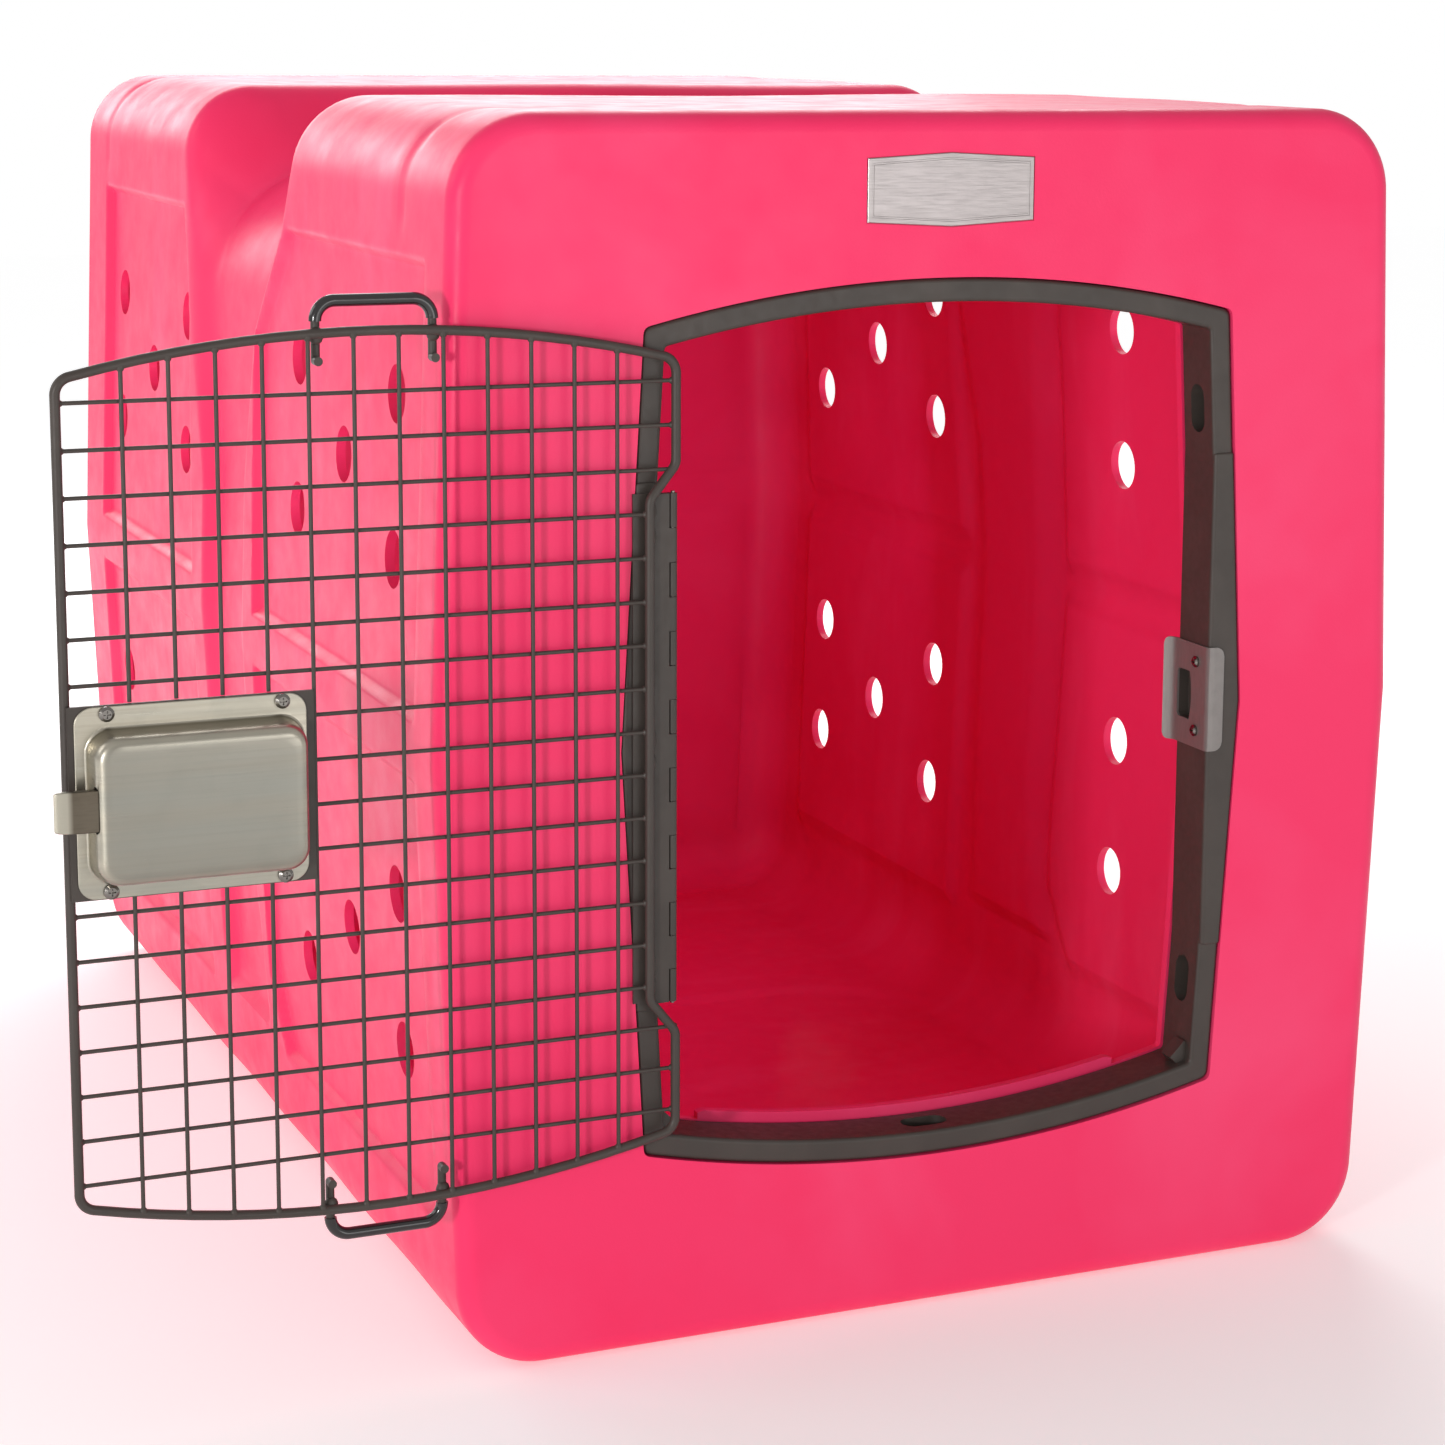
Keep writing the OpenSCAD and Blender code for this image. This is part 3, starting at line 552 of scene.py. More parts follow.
def make_shell():
    shell = solid("shell_body", shell_surface(0.0, OUTSIDE_STEP))
    cut(shell, shell_surface(WALL, INSIDE_STEP))
    cut(shell, prism(frame_ring(POCKET_GAP + WALL), Y, WALL / 2, POCKET_D + WALL), "UNION")
    pocket, lip = frame_ring(POCKET_GAP), frame_ring(-TUBE_W, 2.5)
    steps = ((pocket, -CLEAR), (pocket, POCKET_D), (lip, POCKET_D), (lip, POCKET_D + WALL + CLEAR))
    cut(shell, loft([level(outline, Y, y) for outline, y in steps]))
    cut(shell, bottom_lip(), "UNION")
    cut(shell, vent_tubes())
    cut(shell, prism(plate_ring(-PLATE_SEAT_GAP), Y, -CLEAR, PLATE_SEAT_DEPTH))
    return soften(shell, 38)


def make_name_plate():
    rings = [level(plate_ring(inset), Y, y) for inset, y in PLATE_PROFILE]
    plate = solid("name_plate_blank", loft(rings))
    count = len(rings[0])
    for face in plate.data.polygons:
        if ENGRAVED_FROM * count <= face.index < ENGRAVED_TO * count:
            face.material_index = 1
    return soften(plate, 20)


# ---- the door frame ----

def frame_slots():
    """Cutters for the slots that the frame's screws are reached through."""
    depth = TUBE_W - TUBE_WALL + CLEAR
    slots = []
    for s in (-1, 1):
        x = s * (frame_side(SLOT_Z) - TUBE_WALL)
        for v in (-1, 1):
            centre = (SLOT_Y, MID_Z + v * SLOT_Z)
            upright = rounded_rect(SLOT_R, SLOT_HALF, SLOT_R - 0.01, 12, 1, centre)
            slots.append(prism(upright, X, x, x - s * depth))
    for v in (-1, 1):
        z = MID_Z + v * (FRAME_HALF_H - TUBE_WALL)
        flat = rounded_rect(SLOT_HALF, SLOT_R, SLOT_R - 0.01, 12, 1, (0, SLOT_Y))
        slots.append(prism(flat, Z, z, z - v * depth))
    return merge(slots)


def make_frame_tube():
    profile = rounded_rect(TUBE_W / 2, (TUBE_BACK - TUBE_FRONT) / 2, 2.6, 5, 2)
    rings = []
    for a, b in profile:
        grow = a - TUBE_W / 2
        rings.append(level(frame_ring(grow, 4.5 + 0.15 * grow), Y, (TUBE_FRONT + TUBE_BACK) / 2 + b))
    tube = solid("frame_tube", loft(rings, closed=True))
    cut(tube, frame_slots())
    return soften(tube, 40)


def keeper_window(x0, x1):
    """Cutter for the bolt's window, whose front edge bulges forward in the middle."""
    z = np.linspace(-KEEPER_HALF, KEEPER_HALF, 17)
    front = np.column_stack([-5.4 + 2.4 * (z / KEEPER_HALF) ** 2, z])
    back = [(10.0, KEEPER_HALF), (12.0, 13.5), (12.0, -13.5), (10.0, -KEEPER_HALF)]
    return prism(np.concatenate([front, back]) + np.array([KEEPER_Y, KEEPER_Z]), X, x0, x1)


def strike_holes(x0, x1, r):
    holes = []
    for s in (-1, 1):
        z = STRIKE_Z + s * STRIKE_SCREW_DZ
        holes.append(cylinder((x0, STRIKE_SCREW_Y, z), (x1, STRIKE_SCREW_Y, z), r))
    return merge(holes)


def make_sleeve(side):
    """The sleeve that joins the frame's halves on side -1 or 1, kinked at mid height."""
    turns = np.linspace(0, math.pi / 2, 5)
    low_end = []
    for a in turns:
        low_end.append((SLEEVE_EDGE * (1 - math.cos(a)) - SLEEVE_HALF, SLEEVE_EDGE * (1 - math.sin(a))))
    heights = low_end + [(v, 0.0) for v in np.linspace(-120, 120, 13)]
    heights += [(-v, inset) for v, inset in low_end[::-1]]
    rings = []
    for v, inset in heights:
        outer = frame_side(v) + SLEEVE_GROW
        half_w = (outer - SLEEVE_X) / 2 - inset
        centre = ((outer + SLEEVE_X) / 2, SLEEVE_D / 2)
        outline = rounded_rect(half_w, SLEEVE_D / 2 - inset, 3.0, 6, 3, centre)
        rings.append(level(outline * np.array([side, 1]), Z, MID_Z + v))
    sleeve = solid("sleeve_right" if side > 0 else "sleeve_left", loft(rings))
    if side > 0:
        cut(sleeve, keeper_window(176, 190))
        cut(sleeve, strike_holes(176, 197, 1.7))
    return soften(sleeve, 40)


# ---- the strike ----

def strike_path():
    """The keeper's middle line in X and Y: the sleeve's front, a bend, its inner face, a flared back."""
    path = [(193.4, -0.75)]
    path += [(184.6 - 2.0 * math.sin(a), 1.25 - 2.0 * math.cos(a)) for a in np.linspace(0, math.pi / 2, 7)]
    path += [(182.6, 6.0), (182.6, 16.0), (182.6, 28.0), (182.6, 38.0)]
    path += [(182.3, 39.6), (181.0, 41.6), (178.4, 44.4), (177.1, 45.6)]
    return np.array(path)


def lost_to_corner(r, distance):
    """How much lower the sheet's edge is, at a distance from its end, for a corner rounded by r."""
    inside = r - min(distance, r)
    return r - math.sqrt(r * r - inside * inside)


def make_strike():
    path = strike_path()
    run = np.r_[0, np.cumsum(np.linalg.norm(np.diff(path, axis=0), axis=1))]
    length = run[-1]
    flare = length - STRIKE_BACK_R
    spans = ((0, STRIKE_FRONT_R, 9), (STRIKE_FRONT_R, flare, 26), (flare, length, 6))
    stations = np.unique(np.concatenate([np.linspace(*span) for span in spans]))
    middle = np.column_stack([np.interp(stations, run, path[:, i]) for i in (0, 1)])
    tangent = np.gradient(middle, axis=0)
    tangent /= np.linalg.norm(tangent, axis=1, keepdims=True)
    across = np.column_stack([tangent[:, 1], -tangent[:, 0]]) * (STRIKE_T / 2)
    rings = []
    for s, at, half_t in zip(stations, middle, across):
        reach = STRIKE_HALF - lost_to_corner(STRIKE_FRONT_R, s) - lost_to_corner(STRIKE_BACK_R, length - s)
        zs = STRIKE_Z + np.linspace(-reach, reach, 9)
        rings.append([(*(at + half_t), z) for z in zs] + [(*(at - half_t), z) for z in zs[::-1]])
    strike = solid("strike_visual", loft(rings))
    cut(strike, keeper_window(172, 190))
    cut(strike, strike_holes(176, 190, 2.1))
    return soften(strike, 35)


# ---- pieces on the door ----

def on_door(u, w, v):
    """Where a point of the door is while the door is open."""
    return np.array([HINGE_X - u, HINGE_Y - w, MID_Z + v])


def rings_at_w(outlines):
    """Rings from (outline in U and V, w)."""
    return [np.array([on_door(u, w, v) for u, v in outline]) for outline, w in outlines]


def rings_at_u(outlines):
    """Rings from (outline in V and W, u)."""
    return [np.array([on_door(u, w, v) for v, w in outline]) for outline, u in outlines]


def cover_skin(stations):
    """A skin over stations of (half width, half height, corner radius, w, centre)."""
    return loft(rings_at_w([(rounded_rect(a, b, r, 12, 10, centre), w) for a, b, r, w, centre in stations]))


def make_latch_cover():
    """The pressed cover: a flat flange, and a box with a bolt's slot in its end wall."""
    flange, box = (LATCH_U + 2.0, 0.0), (LATCH_U, -1.5)
    cover = solid("latch_cover_visual", cover_skin((
        (63.1, 52.6, 9.6, 10.05, flange), (63.5, 53.0, 10.0, 10.35, flange),
        (63.5, 53.0, 10.0, 10.9, flange), (63.1, 52.6, 9.6, 11.2, flange),
        (60.6, 43.6, 13.6, 11.2, box), (60.0, 43.0, 13.3, 11.4, box), (59.3, 42.3, 13.0, 12.1, box),
        (59.0, 42.0, 12.8, 13.4, box), (58.4, 41.4, 12.5, 20.0, box), (57.9, 40.9, 12.2, 25.5, box),
        (57.4, 40.4, 12.0, 28.0, box), (56.5, 39.5, 11.5, 29.9, box), (55.0, 38.0, 10.8, 31.2, box),
        (52.9, 35.9, 9.8, 31.85, box), (49.5, 32.5, 9.0, 32.05, box), (34.0, 20.0, 8.0, 32.2, box),
    )))
    cut(cover, cover_skin((
        (57.6, 40.6, 11.6, 8.0, box), (57.6, 40.6, 11.6, 12.5, box),
        (56.2, 39.2, 11.0, 28.0, box), (52.0, 35.0, 9.0, 30.6, box),
    )))
    slot = rounded_rect(12.9, 3.5, 3.3, 8, 2, (0.0, BOLT_W))
    cut(cover, loft(rings_at_u([(slot, LATCH_U + 48), (slot, LATCH_U + 76)])))
    holes = []
    for u in (LATCH_U - COVER_SCREW_U, LATCH_U + COVER_SCREW_U):
        for v in (-COVER_SCREW_V, COVER_SCREW_V):
            holes.append(cylinder(on_door(u, 6, v), on_door(u, 14, v), 2.2))
    cut(cover, merge(holes))
    return soften(cover, 35)


def make_bolt():
    """The sprung bolt: a flat bar with rounded edges and a nose that slopes away at its end."""
    stations = (
        (268.0, 23.9, 28.1, 0.6), (268.5, 23.5, 28.5, 0.0), (300.0, 23.5, 28.5, 0.0),
        (344.0, 23.5, 28.5, 0.0), (348.5, 23.5, 28.4, 0.0), (352.0, 23.5, 27.9, 0.0),
        (356.0, 23.55, 27.1, 0.1), (359.0, 23.8, 26.3, 0.4), (360.4, 24.2, 25.8, 0.8),
        (361.0, 24.7, 25.3, 1.4),
    )
    outlines = []
    for u, w0, w1, inset in stations:
        half_t = (w1 - w0) / 2
        r = min(0.7, half_t - 0.05)
        outlines.append((rounded_rect(BOLT_HALF - inset, half_t, r, 4, 3, (0.0, (w0 + w1) / 2)), u))
    bolt = solid("bolt_visual", loft(rings_at_u(outlines)))
    window = rounded_rect(5.5, 5.0, 0.6, 3, 1, (323.5, 0.0))
    cut(bolt, loft(rings_at_w([(window, 20.0), (window, 32.0)])))
    return soften(bolt, 40)


def make_bolt_spring():
    """Compression spring between the cover's end wall and the bolt's tail, its end turns closed."""
    steps = 20
    rings = []
    for k in range(SPRING_TURNS * steps + 1):
        turned = k / steps
        closed = min(turned, 1.0) + max(turned - SPRING_TURNS + 1, 0.0)
        opened = min(turned, SPRING_TURNS - 1) - min(turned, 1.0)
        u = SPRING_U0 + SPRING_CLOSED * closed + SPRING_PITCH * opened
        a = 2 * math.pi * turned
        ring = []
        for b in np.linspace(0, 2 * math.pi, 10, endpoint=False):
            r = SPRING_R + SPRING_WIRE * math.cos(b)
            ring.append(on_door(u + SPRING_WIRE * math.sin(b), BOLT_W + r * math.cos(a), r * math.sin(a)))
        rings.append(ring)
    spring = solid("bolt_spring_visual", loft(rings))
    spring.data.shade_smooth()
    return spring


def rim_v(u):
    """Height of the door's arched rim above its middle."""
    return DOOR_HALF_H - DOOR_ARCH_R + math.sqrt(DOOR_ARCH_R ** 2 - (u - DOOR_W / 2) ** 2)


def blob(centre, radii, seed):
    """A lumpy bead of weld metal: radii along X, Y and Z."""
    rows, count = 7, 12
    rng = random.Random(seed)
    jitter = [1 + 0.10 * (rng.random() - 0.5) for _ in range(8)]
    rings = []
    for k in range(1, rows):
        polar = math.pi * k / rows
        ring = []
        for i in range(count):
            a = 2 * math.pi * i / count
            lump = jitter[(i + k) % 8] * math.sin(polar)
            ring.append((
                centre[0] + radii[0] * lump * math.cos(a),
                centre[1] + radii[1] * lump * math.sin(a),
                centre[2] + radii[2] * math.cos(polar),
            ))
        rings.append(ring)
    return loft(rings)


def make_weld_beads():
    """Beads where the wires meet the rim, at the hinge leaf and at the stop loops."""
    beads = []
    seed = 0
    bite = RIM_R - 1.4
    for i in range(MESH_UPRIGHTS):
        u = MESH_FIRST + i * MESH_PITCH
        for s in (-1, 1):
            seed += 1
            beads.append(blob(on_door(u, RIM_W + 1.0, s * (rim_v(u) - bite)), WIRE_BEAD, seed))
    for i in range(MESH_CROSSBARS):
        v = (i - (MESH_CROSSBARS - 1) / 2) * MESH_PITCH
        seed += 2
        hinge_side = JOG_U if abs(v) < JOG_HALF else 0
        beads.append(blob(on_door(hinge_side + bite, RIM_W - 1.0, v), CROSSBAR_BEAD, seed))
        if abs(v) > BACK_PLATE_HALF:
            beads.append(blob(on_door(DOOR_W - bite, RIM_W - 1.0, v), CROSSBAR_BEAD, seed + 1))
    for v in HINGE_WELDS:
        seed += 1
        beads.append(blob(on_door(HINGE_WELD_U, 2.6, v), HINGE_BEAD, seed))
    for s in (-1, 1):
        for u in (DOOR_W / 2 - LOOP_HALF, DOOR_W / 2 + LOOP_HALF):
            seed += 1
            beads.append(blob(on_door(u, 1.6, s * (rim_v(u) - 1.5)), LOOP_BEAD, seed))
    obj = solid("weld_beads", merge(beads))
    obj.data.shade_smooth()
    return obj


# ---- materials ----

PINK = (0.915, 0.036, 0.138)
# painted sheen: the paler pink of the streaks that stand in for highlights
PINK_SHEEN = (0.960, 0.085, 0.215)
PINK_DEEP = (0.900, 0.020, 0.104)
POWDER = (0.052, 0.042, 0.036)
POWDER_WORN = (0.085, 0.068, 0.058)
STEEL = (0.42, 0.385, 0.315)
STEEL_STAIN = (0.33, 0.315, 0.265)
# painted shade: the colour that the cover box's flat face is darkened towards
FACE_SHADE_STEEL = (0.205, 0.197, 0.170)
COVER_SMEAR = (0.25, 0.255, 0.228)
# metres in the frame: where the painted shade on the cover's flat face ends in Y, and where the bolt's worn
# nose ends in X
FACE_SHADE_Y = (-0.5246, -0.5236)
BOLT_NOSE_X = (-0.5300, -0.5270)
# the part of a noise's range that holds most of its values
NOISE_SPAN = (0.3, 0.7)


class Net:
    """A node material under construction."""

    def __init__(self, name, colour, **sockets):
        self.material = bpy.data.materials.new(name)
        self.material.use_nodes = True
        self.nodes = self.material.node_tree.nodes
        self.links = self.material.node_tree.links
        self.shader = next(n for n in self.nodes if n.type == "BSDF_PRINCIPLED")
        self.shader.inputs["Base Color"].default_value = (*colour, 1)
        for key, value in sockets.items():
            self.shader.inputs[key.replace("_", " ")].default_value = value
        self.place = self.nodes.new("ShaderNodeTexCoord").outputs["Object"]
        self.height = None

    def noise(self, scale, detail=3.0, rough=0.5, stretch=(1, 1, 1), distortion=0.0):
        mapping = self.nodes.new("ShaderNodeMapping")
        mapping.inputs["Scale"].default_value = stretch
        self.links.new(self.place, mapping.inputs["Vector"])
        node = self.nodes.new("ShaderNodeTexNoise")
        node.inputs["Scale"].default_value = scale
        node.inputs["Detail"].default_value = detail
        node.inputs["Roughness"].default_value = rough
        node.inputs["Distortion"].default_value = distortion
        self.links.new(mapping.outputs["Vector"], node.inputs["Vector"])
        return node.outputs["Fac"]

    def along(self, axis):
        node = self.nodes.new("ShaderNodeSeparateXYZ")
        self.links.new(self.place, node.inputs["Vector"])
        return node.outputs[axis]

    def remap(self, source, span, result):
        """Goes from result[0] to result[1] as source goes from span[0] to span[1]."""
        node = self.nodes.new("ShaderNodeMapRange")
        node.clamp = True
        for key, value in zip(("From Min", "From Max", "To Min", "To Max"), (*span, *result)):
            node.inputs[key].default_value = value
        self.links.new(source, node.inputs["Value"])
        return node.outputs["Result"]

    def tint(self, source, span, amount, colour):
        """Blends the base colour towards colour, by amount[0] to amount[1] as source crosses span."""
        factor = self.remap(source, span, amount)
        node = self.nodes.new("ShaderNodeMix")
        node.data_type = "RGBA"
        target = self.shader.inputs["Base Color"]
        if target.is_linked:
            self.links.new(target.links[0].from_socket, node.inputs["A"])
        else:
            node.inputs["A"].default_value = target.default_value
        node.inputs["B"].default_value = (*colour, 1)
        self.links.new(factor, node.inputs["Factor"])
        self.links.new(node.outputs["Result"], target)

    def rough(self, source, least, most):
        self.links.new(self.remap(source, NOISE_SPAN, (least, most)), self.shader.inputs["Roughness"])

    def bump(self, source, distance, strength):
        node = self.nodes.new("ShaderNodeBump")
        node.inputs["Strength"].default_value = strength
        node.inputs["Distance"].default_value = distance
        self.links.new(source, node.inputs["Height"])
        if self.height is not None:
            self.links.new(self.height, node.inputs["Normal"])
        self.height = node.outputs["Normal"]
        self.links.new(self.height, self.shader.inputs["Normal"])


def pink_plastic():
    net = Net("moulded_pink", PINK, Specular_IOR_Level=0.20)
    # painted sheen: paler streaks across the walls, standing in for streaks of highlight
    sheen_streaks = net.noise(9.0, 4.0, 0.55, stretch=(0.45, 1.6, 0.45), distortion=0.5)
    net.tint(sheen_streaks, (0.50, 0.75), (0.0, 0.55), PINK_SHEEN)
    net.tint(net.noise(17.0, 3.0, 0.6), (0.52, 0.80), (0.0, 0.30), PINK_DEEP)
    net.rough(net.noise(34.0, 4.0, 0.6), 0.33, 0.47)
    net.bump(net.noise(14.0, 2.0), distance=0.0022, strength=0.10)
    net.bump(net.noise(620.0, 2.0, 0.6), distance=0.00022, strength=0.30)
    return net.material


def powder_coat():
    net = Net("powder_coat", POWDER, Specular_IOR_Level=0.32)
    net.tint(net.noise(30.0, 4.0), (0.45, 0.75), (0.0, 0.35), POWDER_WORN)
    net.rough(net.noise(180.0, 3.0), 0.36, 0.52)
    net.bump(net.noise(1500.0, 2.0, 0.6), distance=0.00012, strength=0.45)
    return net.material


def brushed_steel(name, colour, stretch, rough=(0.22, 0.38), stain=STEEL_STAIN, metallic=1.0):
    net = Net(name, colour, Metallic=metallic)
    grain = net.noise(90.0, 5.0, 0.65, stretch)
    net.rough(grain, *rough)
    net.tint(grain, (0.45, 0.70), (0.0, 0.30), tuple(0.72 * c for c in colour))
    net.tint(net.noise(26.0, 4.0, 0.6, distortion=1.2), (0.50, 0.80), (0.0, 0.55), stain)
    net.bump(grain, distance=0.00012, strength=0.35)
    return net


def cover_steel():
    """Brushed steel, with painted shade that makes the box's flat face darker and cooler than its rolled
    edges.
    """
    net = brushed_steel("cover_steel", STEEL, (0.10, 1.0, 7.0), (0.27, 0.42), (0.30, 0.29, 0.24))
    # painted shade: darkens and cools the box's flat face and leaves its rolled edges bright
    net.tint(net.along("Y"), FACE_SHADE_Y, (0.75, 0.0), FACE_SHADE_STEEL)
    smear = net.noise(9.0, 5.0, 0.6, stretch=(0.45, 1.0, 5.0), distortion=0.4)
    net.tint(smear, (0.42, 0.66), (0.0, 0.50), COVER_SMEAR)
    return net.material


def bolt_steel():
    """Oil-browned steel with a bright worn nose."""
    net = brushed_steel(
        "bolt_steel", (0.125, 0.105, 0.080), (1.0, 1.0, 8.0), (0.28, 0.42), (0.09, 0.07, 0.05))
    net.tint(net.along("X"), BOLT_NOSE_X, (0.85, 0.0), (0.40, 0.375, 0.31))
    return net.material


def strike_steel():
    net = brushed_steel(
        "strike_steel", (0.215, 0.195, 0.185), (1.0, 9.0, 1.0), (0.36, 0.5), (0.17, 0.15, 0.14), 0.45)
    return net.material


def screw_steel():
    return brushed_steel("screw_steel", (0.20, 0.185, 0.17), (3.0, 1.0, 3.0), (0.14, 0.26)).material


def plate_metal():
    net = brushed_steel(
        "plate_metal", (0.32, 0.29, 0.285), (0.6, 1.0, 12.0), (0.30, 0.42), (0.27, 0.245, 0.24))
    return net.material


def dip_coat():
    net = Net("dip_coat", (0.014, 0.012, 0.012), Specular_IOR_Level=0.6)
    net.rough(net.noise(60.0, 2.0), 0.10, 0.20)
    net.bump(net.noise(160.0, 2.0), distance=0.0006, strength=0.12)
    return net.material


def black_plastic():
    net = Net("black_handle", (0.018, 0.018, 0.020), Specular_IOR_Level=0.5)
    net.rough(net.noise(90.0, 3.0), 0.34, 0.50)
    net.bump(net.noise(900.0, 2.0), distance=0.0002, strength=0.4)
    return net.material


def engraved_dark():
    net = Net("engraved_line", (0.10, 0.10, 0.10), Metallic=0.3)
    net.rough(net.noise(300.0, 2.0), 0.5, 0.7)
    return net.material


def pale_floor():
    """Near white, and glowing more with distance so that it runs into the sky."""
    net = Net("pale_floor", (0.90, 0.90, 0.90), Specular_IOR_Level=0.1)
    net.shader.inputs["Emission Color"].default_value = (1.0, 1.0, 1.0, 1)
    reach = net.nodes.new("ShaderNodeVectorMath")
    reach.operation = "LENGTH"
    net.links.new(net.place, reach.inputs[0])
    glow = net.remap(reach.outputs["Value"], (0.9, 2.6), (0.30, 0.64))
    net.links.new(glow, net.shader.inputs["Emission Strength"])
    net.rough(net.noise(3.0, 2.0), 0.85, 0.95)
    return net.material


# ---- putting it together ----

def wear(obj, *materials):
    obj.data.materials.clear()
    for material in materials:
        obj.data.materials.append(material)


def place(obj, body, slot, materials, *nodes):
    """Puts a new piece on its body, in the place of the CAD nodes named."""
    wear(obj, *materials)
    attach(obj, body)
    if nodes:
        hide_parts(*nodes)


def dress_nodes(material, *names, edge=None):
    """Looks for CAD nodes that are shown as they are, their edges bevelled where edge is given."""
    for name in names:
        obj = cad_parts[name]
        wear(obj, material)
        for polygon in obj.data.polygons:
            polygon.material_index = 0
        obj.data.shade_smooth()
        obj.data.set_sharp_from_angle(angle=math.radians(38))
        if edge:
            bevel(obj, edge)


def build():
    powder, cover, screw = powder_coat(), cover_steel(), screw_steel()
    place(make_shell(), "root", "shell_plastic", [pink_plastic()], "body_shell")
    place(make_name_plate(), "root", "plate_metal", [plate_metal(), engraved_dark()], "name_plate")
    place(make_frame_tube(), "root", "powder_coat", [powder], "frame_upper_tube", "frame_lower_tube")
    place(make_sleeve(-1), "root", "powder_coat", [powder], "frame_sleeve_left")
    place(make_sleeve(1), "root", "powder_coat", [powder], "frame_sleeve_right")
    place(make_strike(), "root", "latch_steel", [strike_steel()], "strike_plate")
    place(make_latch_cover(), "door", "latch_steel", [cover], "latch_cover")
    place(make_weld_beads(), "door", "powder_coat", [powder])
    place(make_bolt(), "latch_bolt", "bolt_steel", [bolt_steel()], "latch_bolt")
    spring = make_bolt_spring()
    place(spring, "door", "fastener_steel", [screw], "bolt_spring")
    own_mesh(spring)

    dress_nodes(powder, "frame_corner_pads", "hinge_frame_leaf", "hinge_door_leaf", "door_rim",
                "mesh_vertical_wires", "mesh_horizontal_wires", "stop_loop_top", "stop_loop_bottom",
                "latch_back_plate")
    dress_nodes(dip_coat(), "loop_sleeve_top", "loop_sleeve_bottom")
    dress_nodes(screw, "frame_screws", "strike_screws", "cover_screws", edge=SCREW_EDGE)
    dress_nodes(screw, "hinge_pin", "paddle_pin", "lock_nut", "paddle_spring", "lock_barrel", "lock_plug")
    dress_nodes(cover, "paddle_tray")
    dress_nodes(black_plastic(), "paddle")


# ---- floor, light and camera ----

SKY_LIGHT = 0.38
SKY_SEEN = 1.0
SKY_MIRRORED = 0.66
FLOOR_HALF = 9000.0
FLOOR_DROP = 0.0006
# lights are (name, where, target, size, power)
LIGHTS = (
    ("key", (-2.7, -2.6, 0.78), (-0.15, -0.2, 0.34), (0.3, 0.3), 42),
    ("side", (-2.7, 0.5, 1.9), (-0.2, 0.0, 0.4), (1.6, 1.4), 15),
    ("rim", (-1.7, 3.0, 1.5), (-0.25, 0.0, 0.4), (2.4, 1.2), 17),
    ("back_top", (0.3, 3.3, 1.3), (0.0, 0.0, 0.73), (3.0, 0.6), 23),
    ("fill", (0.9, -3.5, 0.55), (0.0, -0.4, 0.28), (1.6, 1.0), 14),
    ("top", (0.6, 1.6, 2.1), (-0.1, -0.2, 0.5), (1.8, 1.2), 32),
)
CABIN_COLOUR = (0.70, 0.55, 1.0)
CABIN_LIGHTS = (
    ("cabin_glow", (0.05, -0.42, 0.42), (-0.40, 0.45, 0.32), (0.26, 0.30), 0.62),
    ("cabin_back", (0.16, 0.02, 0.42), (-0.30, 0.49, 0.36), (0.20, 0.20), 0.55),
)


def area_light(name, where, target, size, power, colour=(1, 1, 1)):
    data = bpy.data.lights.new(name, "AREA")
    data.shape = "RECTANGLE"
    data.size, data.size_y = size
    data.energy = power
    data.color = colour
    obj = bpy.data.objects.new(name, data)
    obj.location = where
    obj.rotation_euler = (Vector(target) - Vector(where)).to_track_quat("-Z", "Y").to_euler()
    bpy.context.scene.collection.objects.link(obj)
    return obj


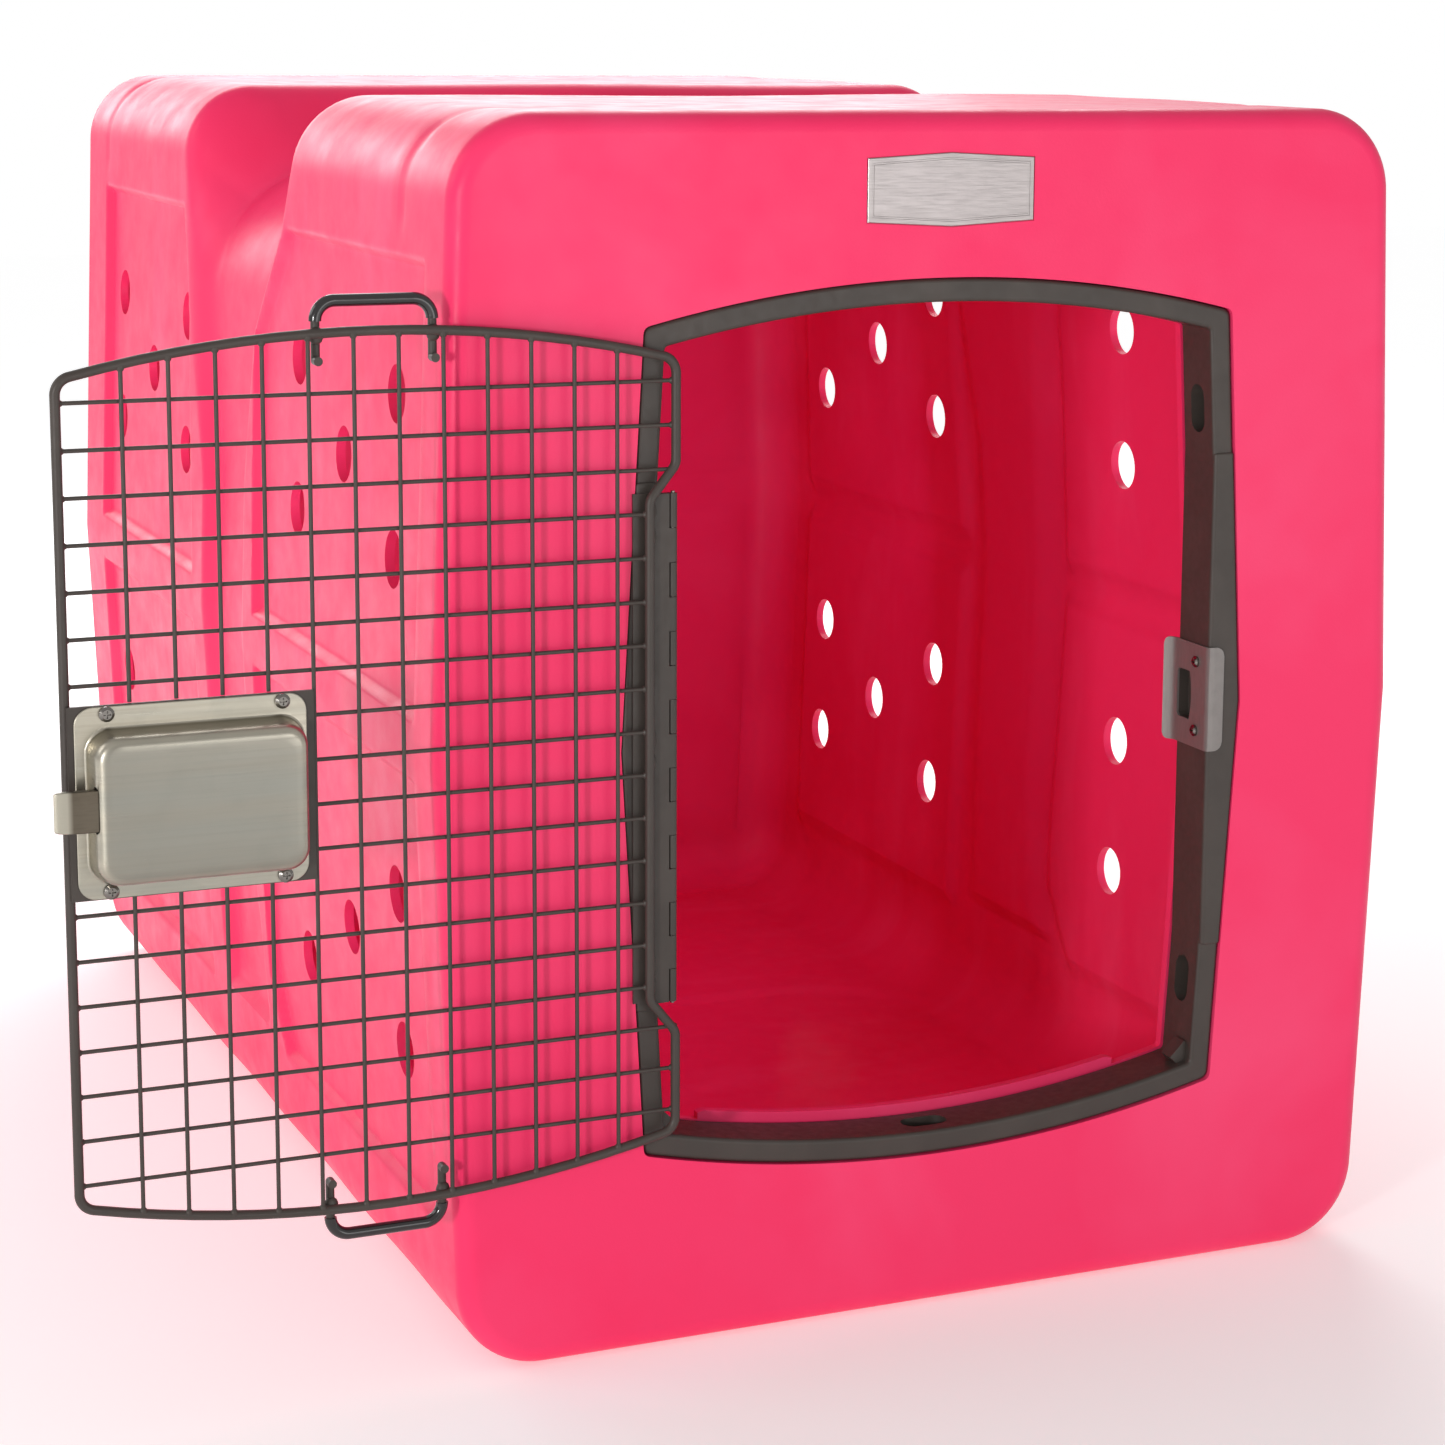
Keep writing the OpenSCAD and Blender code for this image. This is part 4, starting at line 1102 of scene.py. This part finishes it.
def make_sky():
    """A white sky that lights the scene less than it shows to the camera and in reflections."""
    world = bpy.data.worlds.new("studio")
    world.use_nodes = True
    nodes, links = world.node_tree.nodes, world.node_tree.links
    background = nodes["Background"]
    background.inputs["Color"].default_value = (1.0, 1.0, 1.0, 1)
    paths = nodes.new("ShaderNodeLightPath")
    level_so_far = None
    for ray, value in (("Is Glossy Ray", SKY_MIRRORED), ("Is Camera Ray", SKY_SEEN)):
        strength = nodes.new("ShaderNodeMapRange")
        strength.inputs["To Min"].default_value = SKY_LIGHT
        strength.inputs["To Max"].default_value = value
        if level_so_far is not None:
            links.new(level_so_far, strength.inputs["To Min"])
        links.new(paths.outputs[ray], strength.inputs["Value"])
        level_so_far = strength.outputs["Result"]
    links.new(level_so_far, background.inputs["Strength"])
    bpy.context.scene.world = world


def make_stage():
    make_sky()
    corners = [(-1, -1), (1, -1), (1, 1), (-1, 1)]
    floor = make_object("floor", [(x * FLOOR_HALF, y * FLOOR_HALF, 0) for x, y in corners], [(0, 1, 2, 3)])
    floor.location.z = -FLOOR_DROP
    wear(floor, pale_floor())
    for light in LIGHTS:
        area_light(*light)
    for light in CABIN_LIGHTS:
        glow = area_light(*light, CABIN_COLOUR)
        glow.visible_camera = False
        glow.visible_glossy = False
    bpy.context.scene.view_settings.view_transform = "Standard"
    bpy.context.scene.view_settings.look = "None"


# the camera that was solved from the wire crossings, the frame's corners and the shell's lower edge
CAMERA_AT = (-0.8561, -2.2468, 0.7892)
CAMERA_YAW = 23.99
CAMERA_PITCH = 9.954
CAMERA_ROLL = 0.547
CAMERA_LENS = 82.58
CAMERA_SHIFT = (-0.0758, -0.0885)


def make_camera():
    data = bpy.data.cameras.new("camera")
    data.sensor_width = 36.0
    data.lens = CAMERA_LENS
    data.shift_x, data.shift_y = CAMERA_SHIFT
    data.clip_start = 0.05
    yaw, pitch, roll = (math.radians(a) for a in (CAMERA_YAW, CAMERA_PITCH, CAMERA_ROLL))
    forward = Vector((math.sin(yaw) * math.cos(pitch), math.cos(yaw) * math.cos(pitch), -math.sin(pitch)))
    sideways = Vector((math.cos(yaw), -math.sin(yaw), 0))
    upright = sideways.cross(forward)
    right = sideways * math.cos(roll) + upright * math.sin(roll)
    up = upright * math.cos(roll) - sideways * math.sin(roll)
    turn = Matrix((right, up, -forward)).transposed().to_4x4()
    obj = bpy.data.objects.new("camera", data)
    obj.matrix_world = Matrix.Translation(CAMERA_AT) @ turn
    bpy.context.scene.collection.objects.link(obj)
    bpy.context.scene.camera = obj


make_camera()
build()
make_stage()
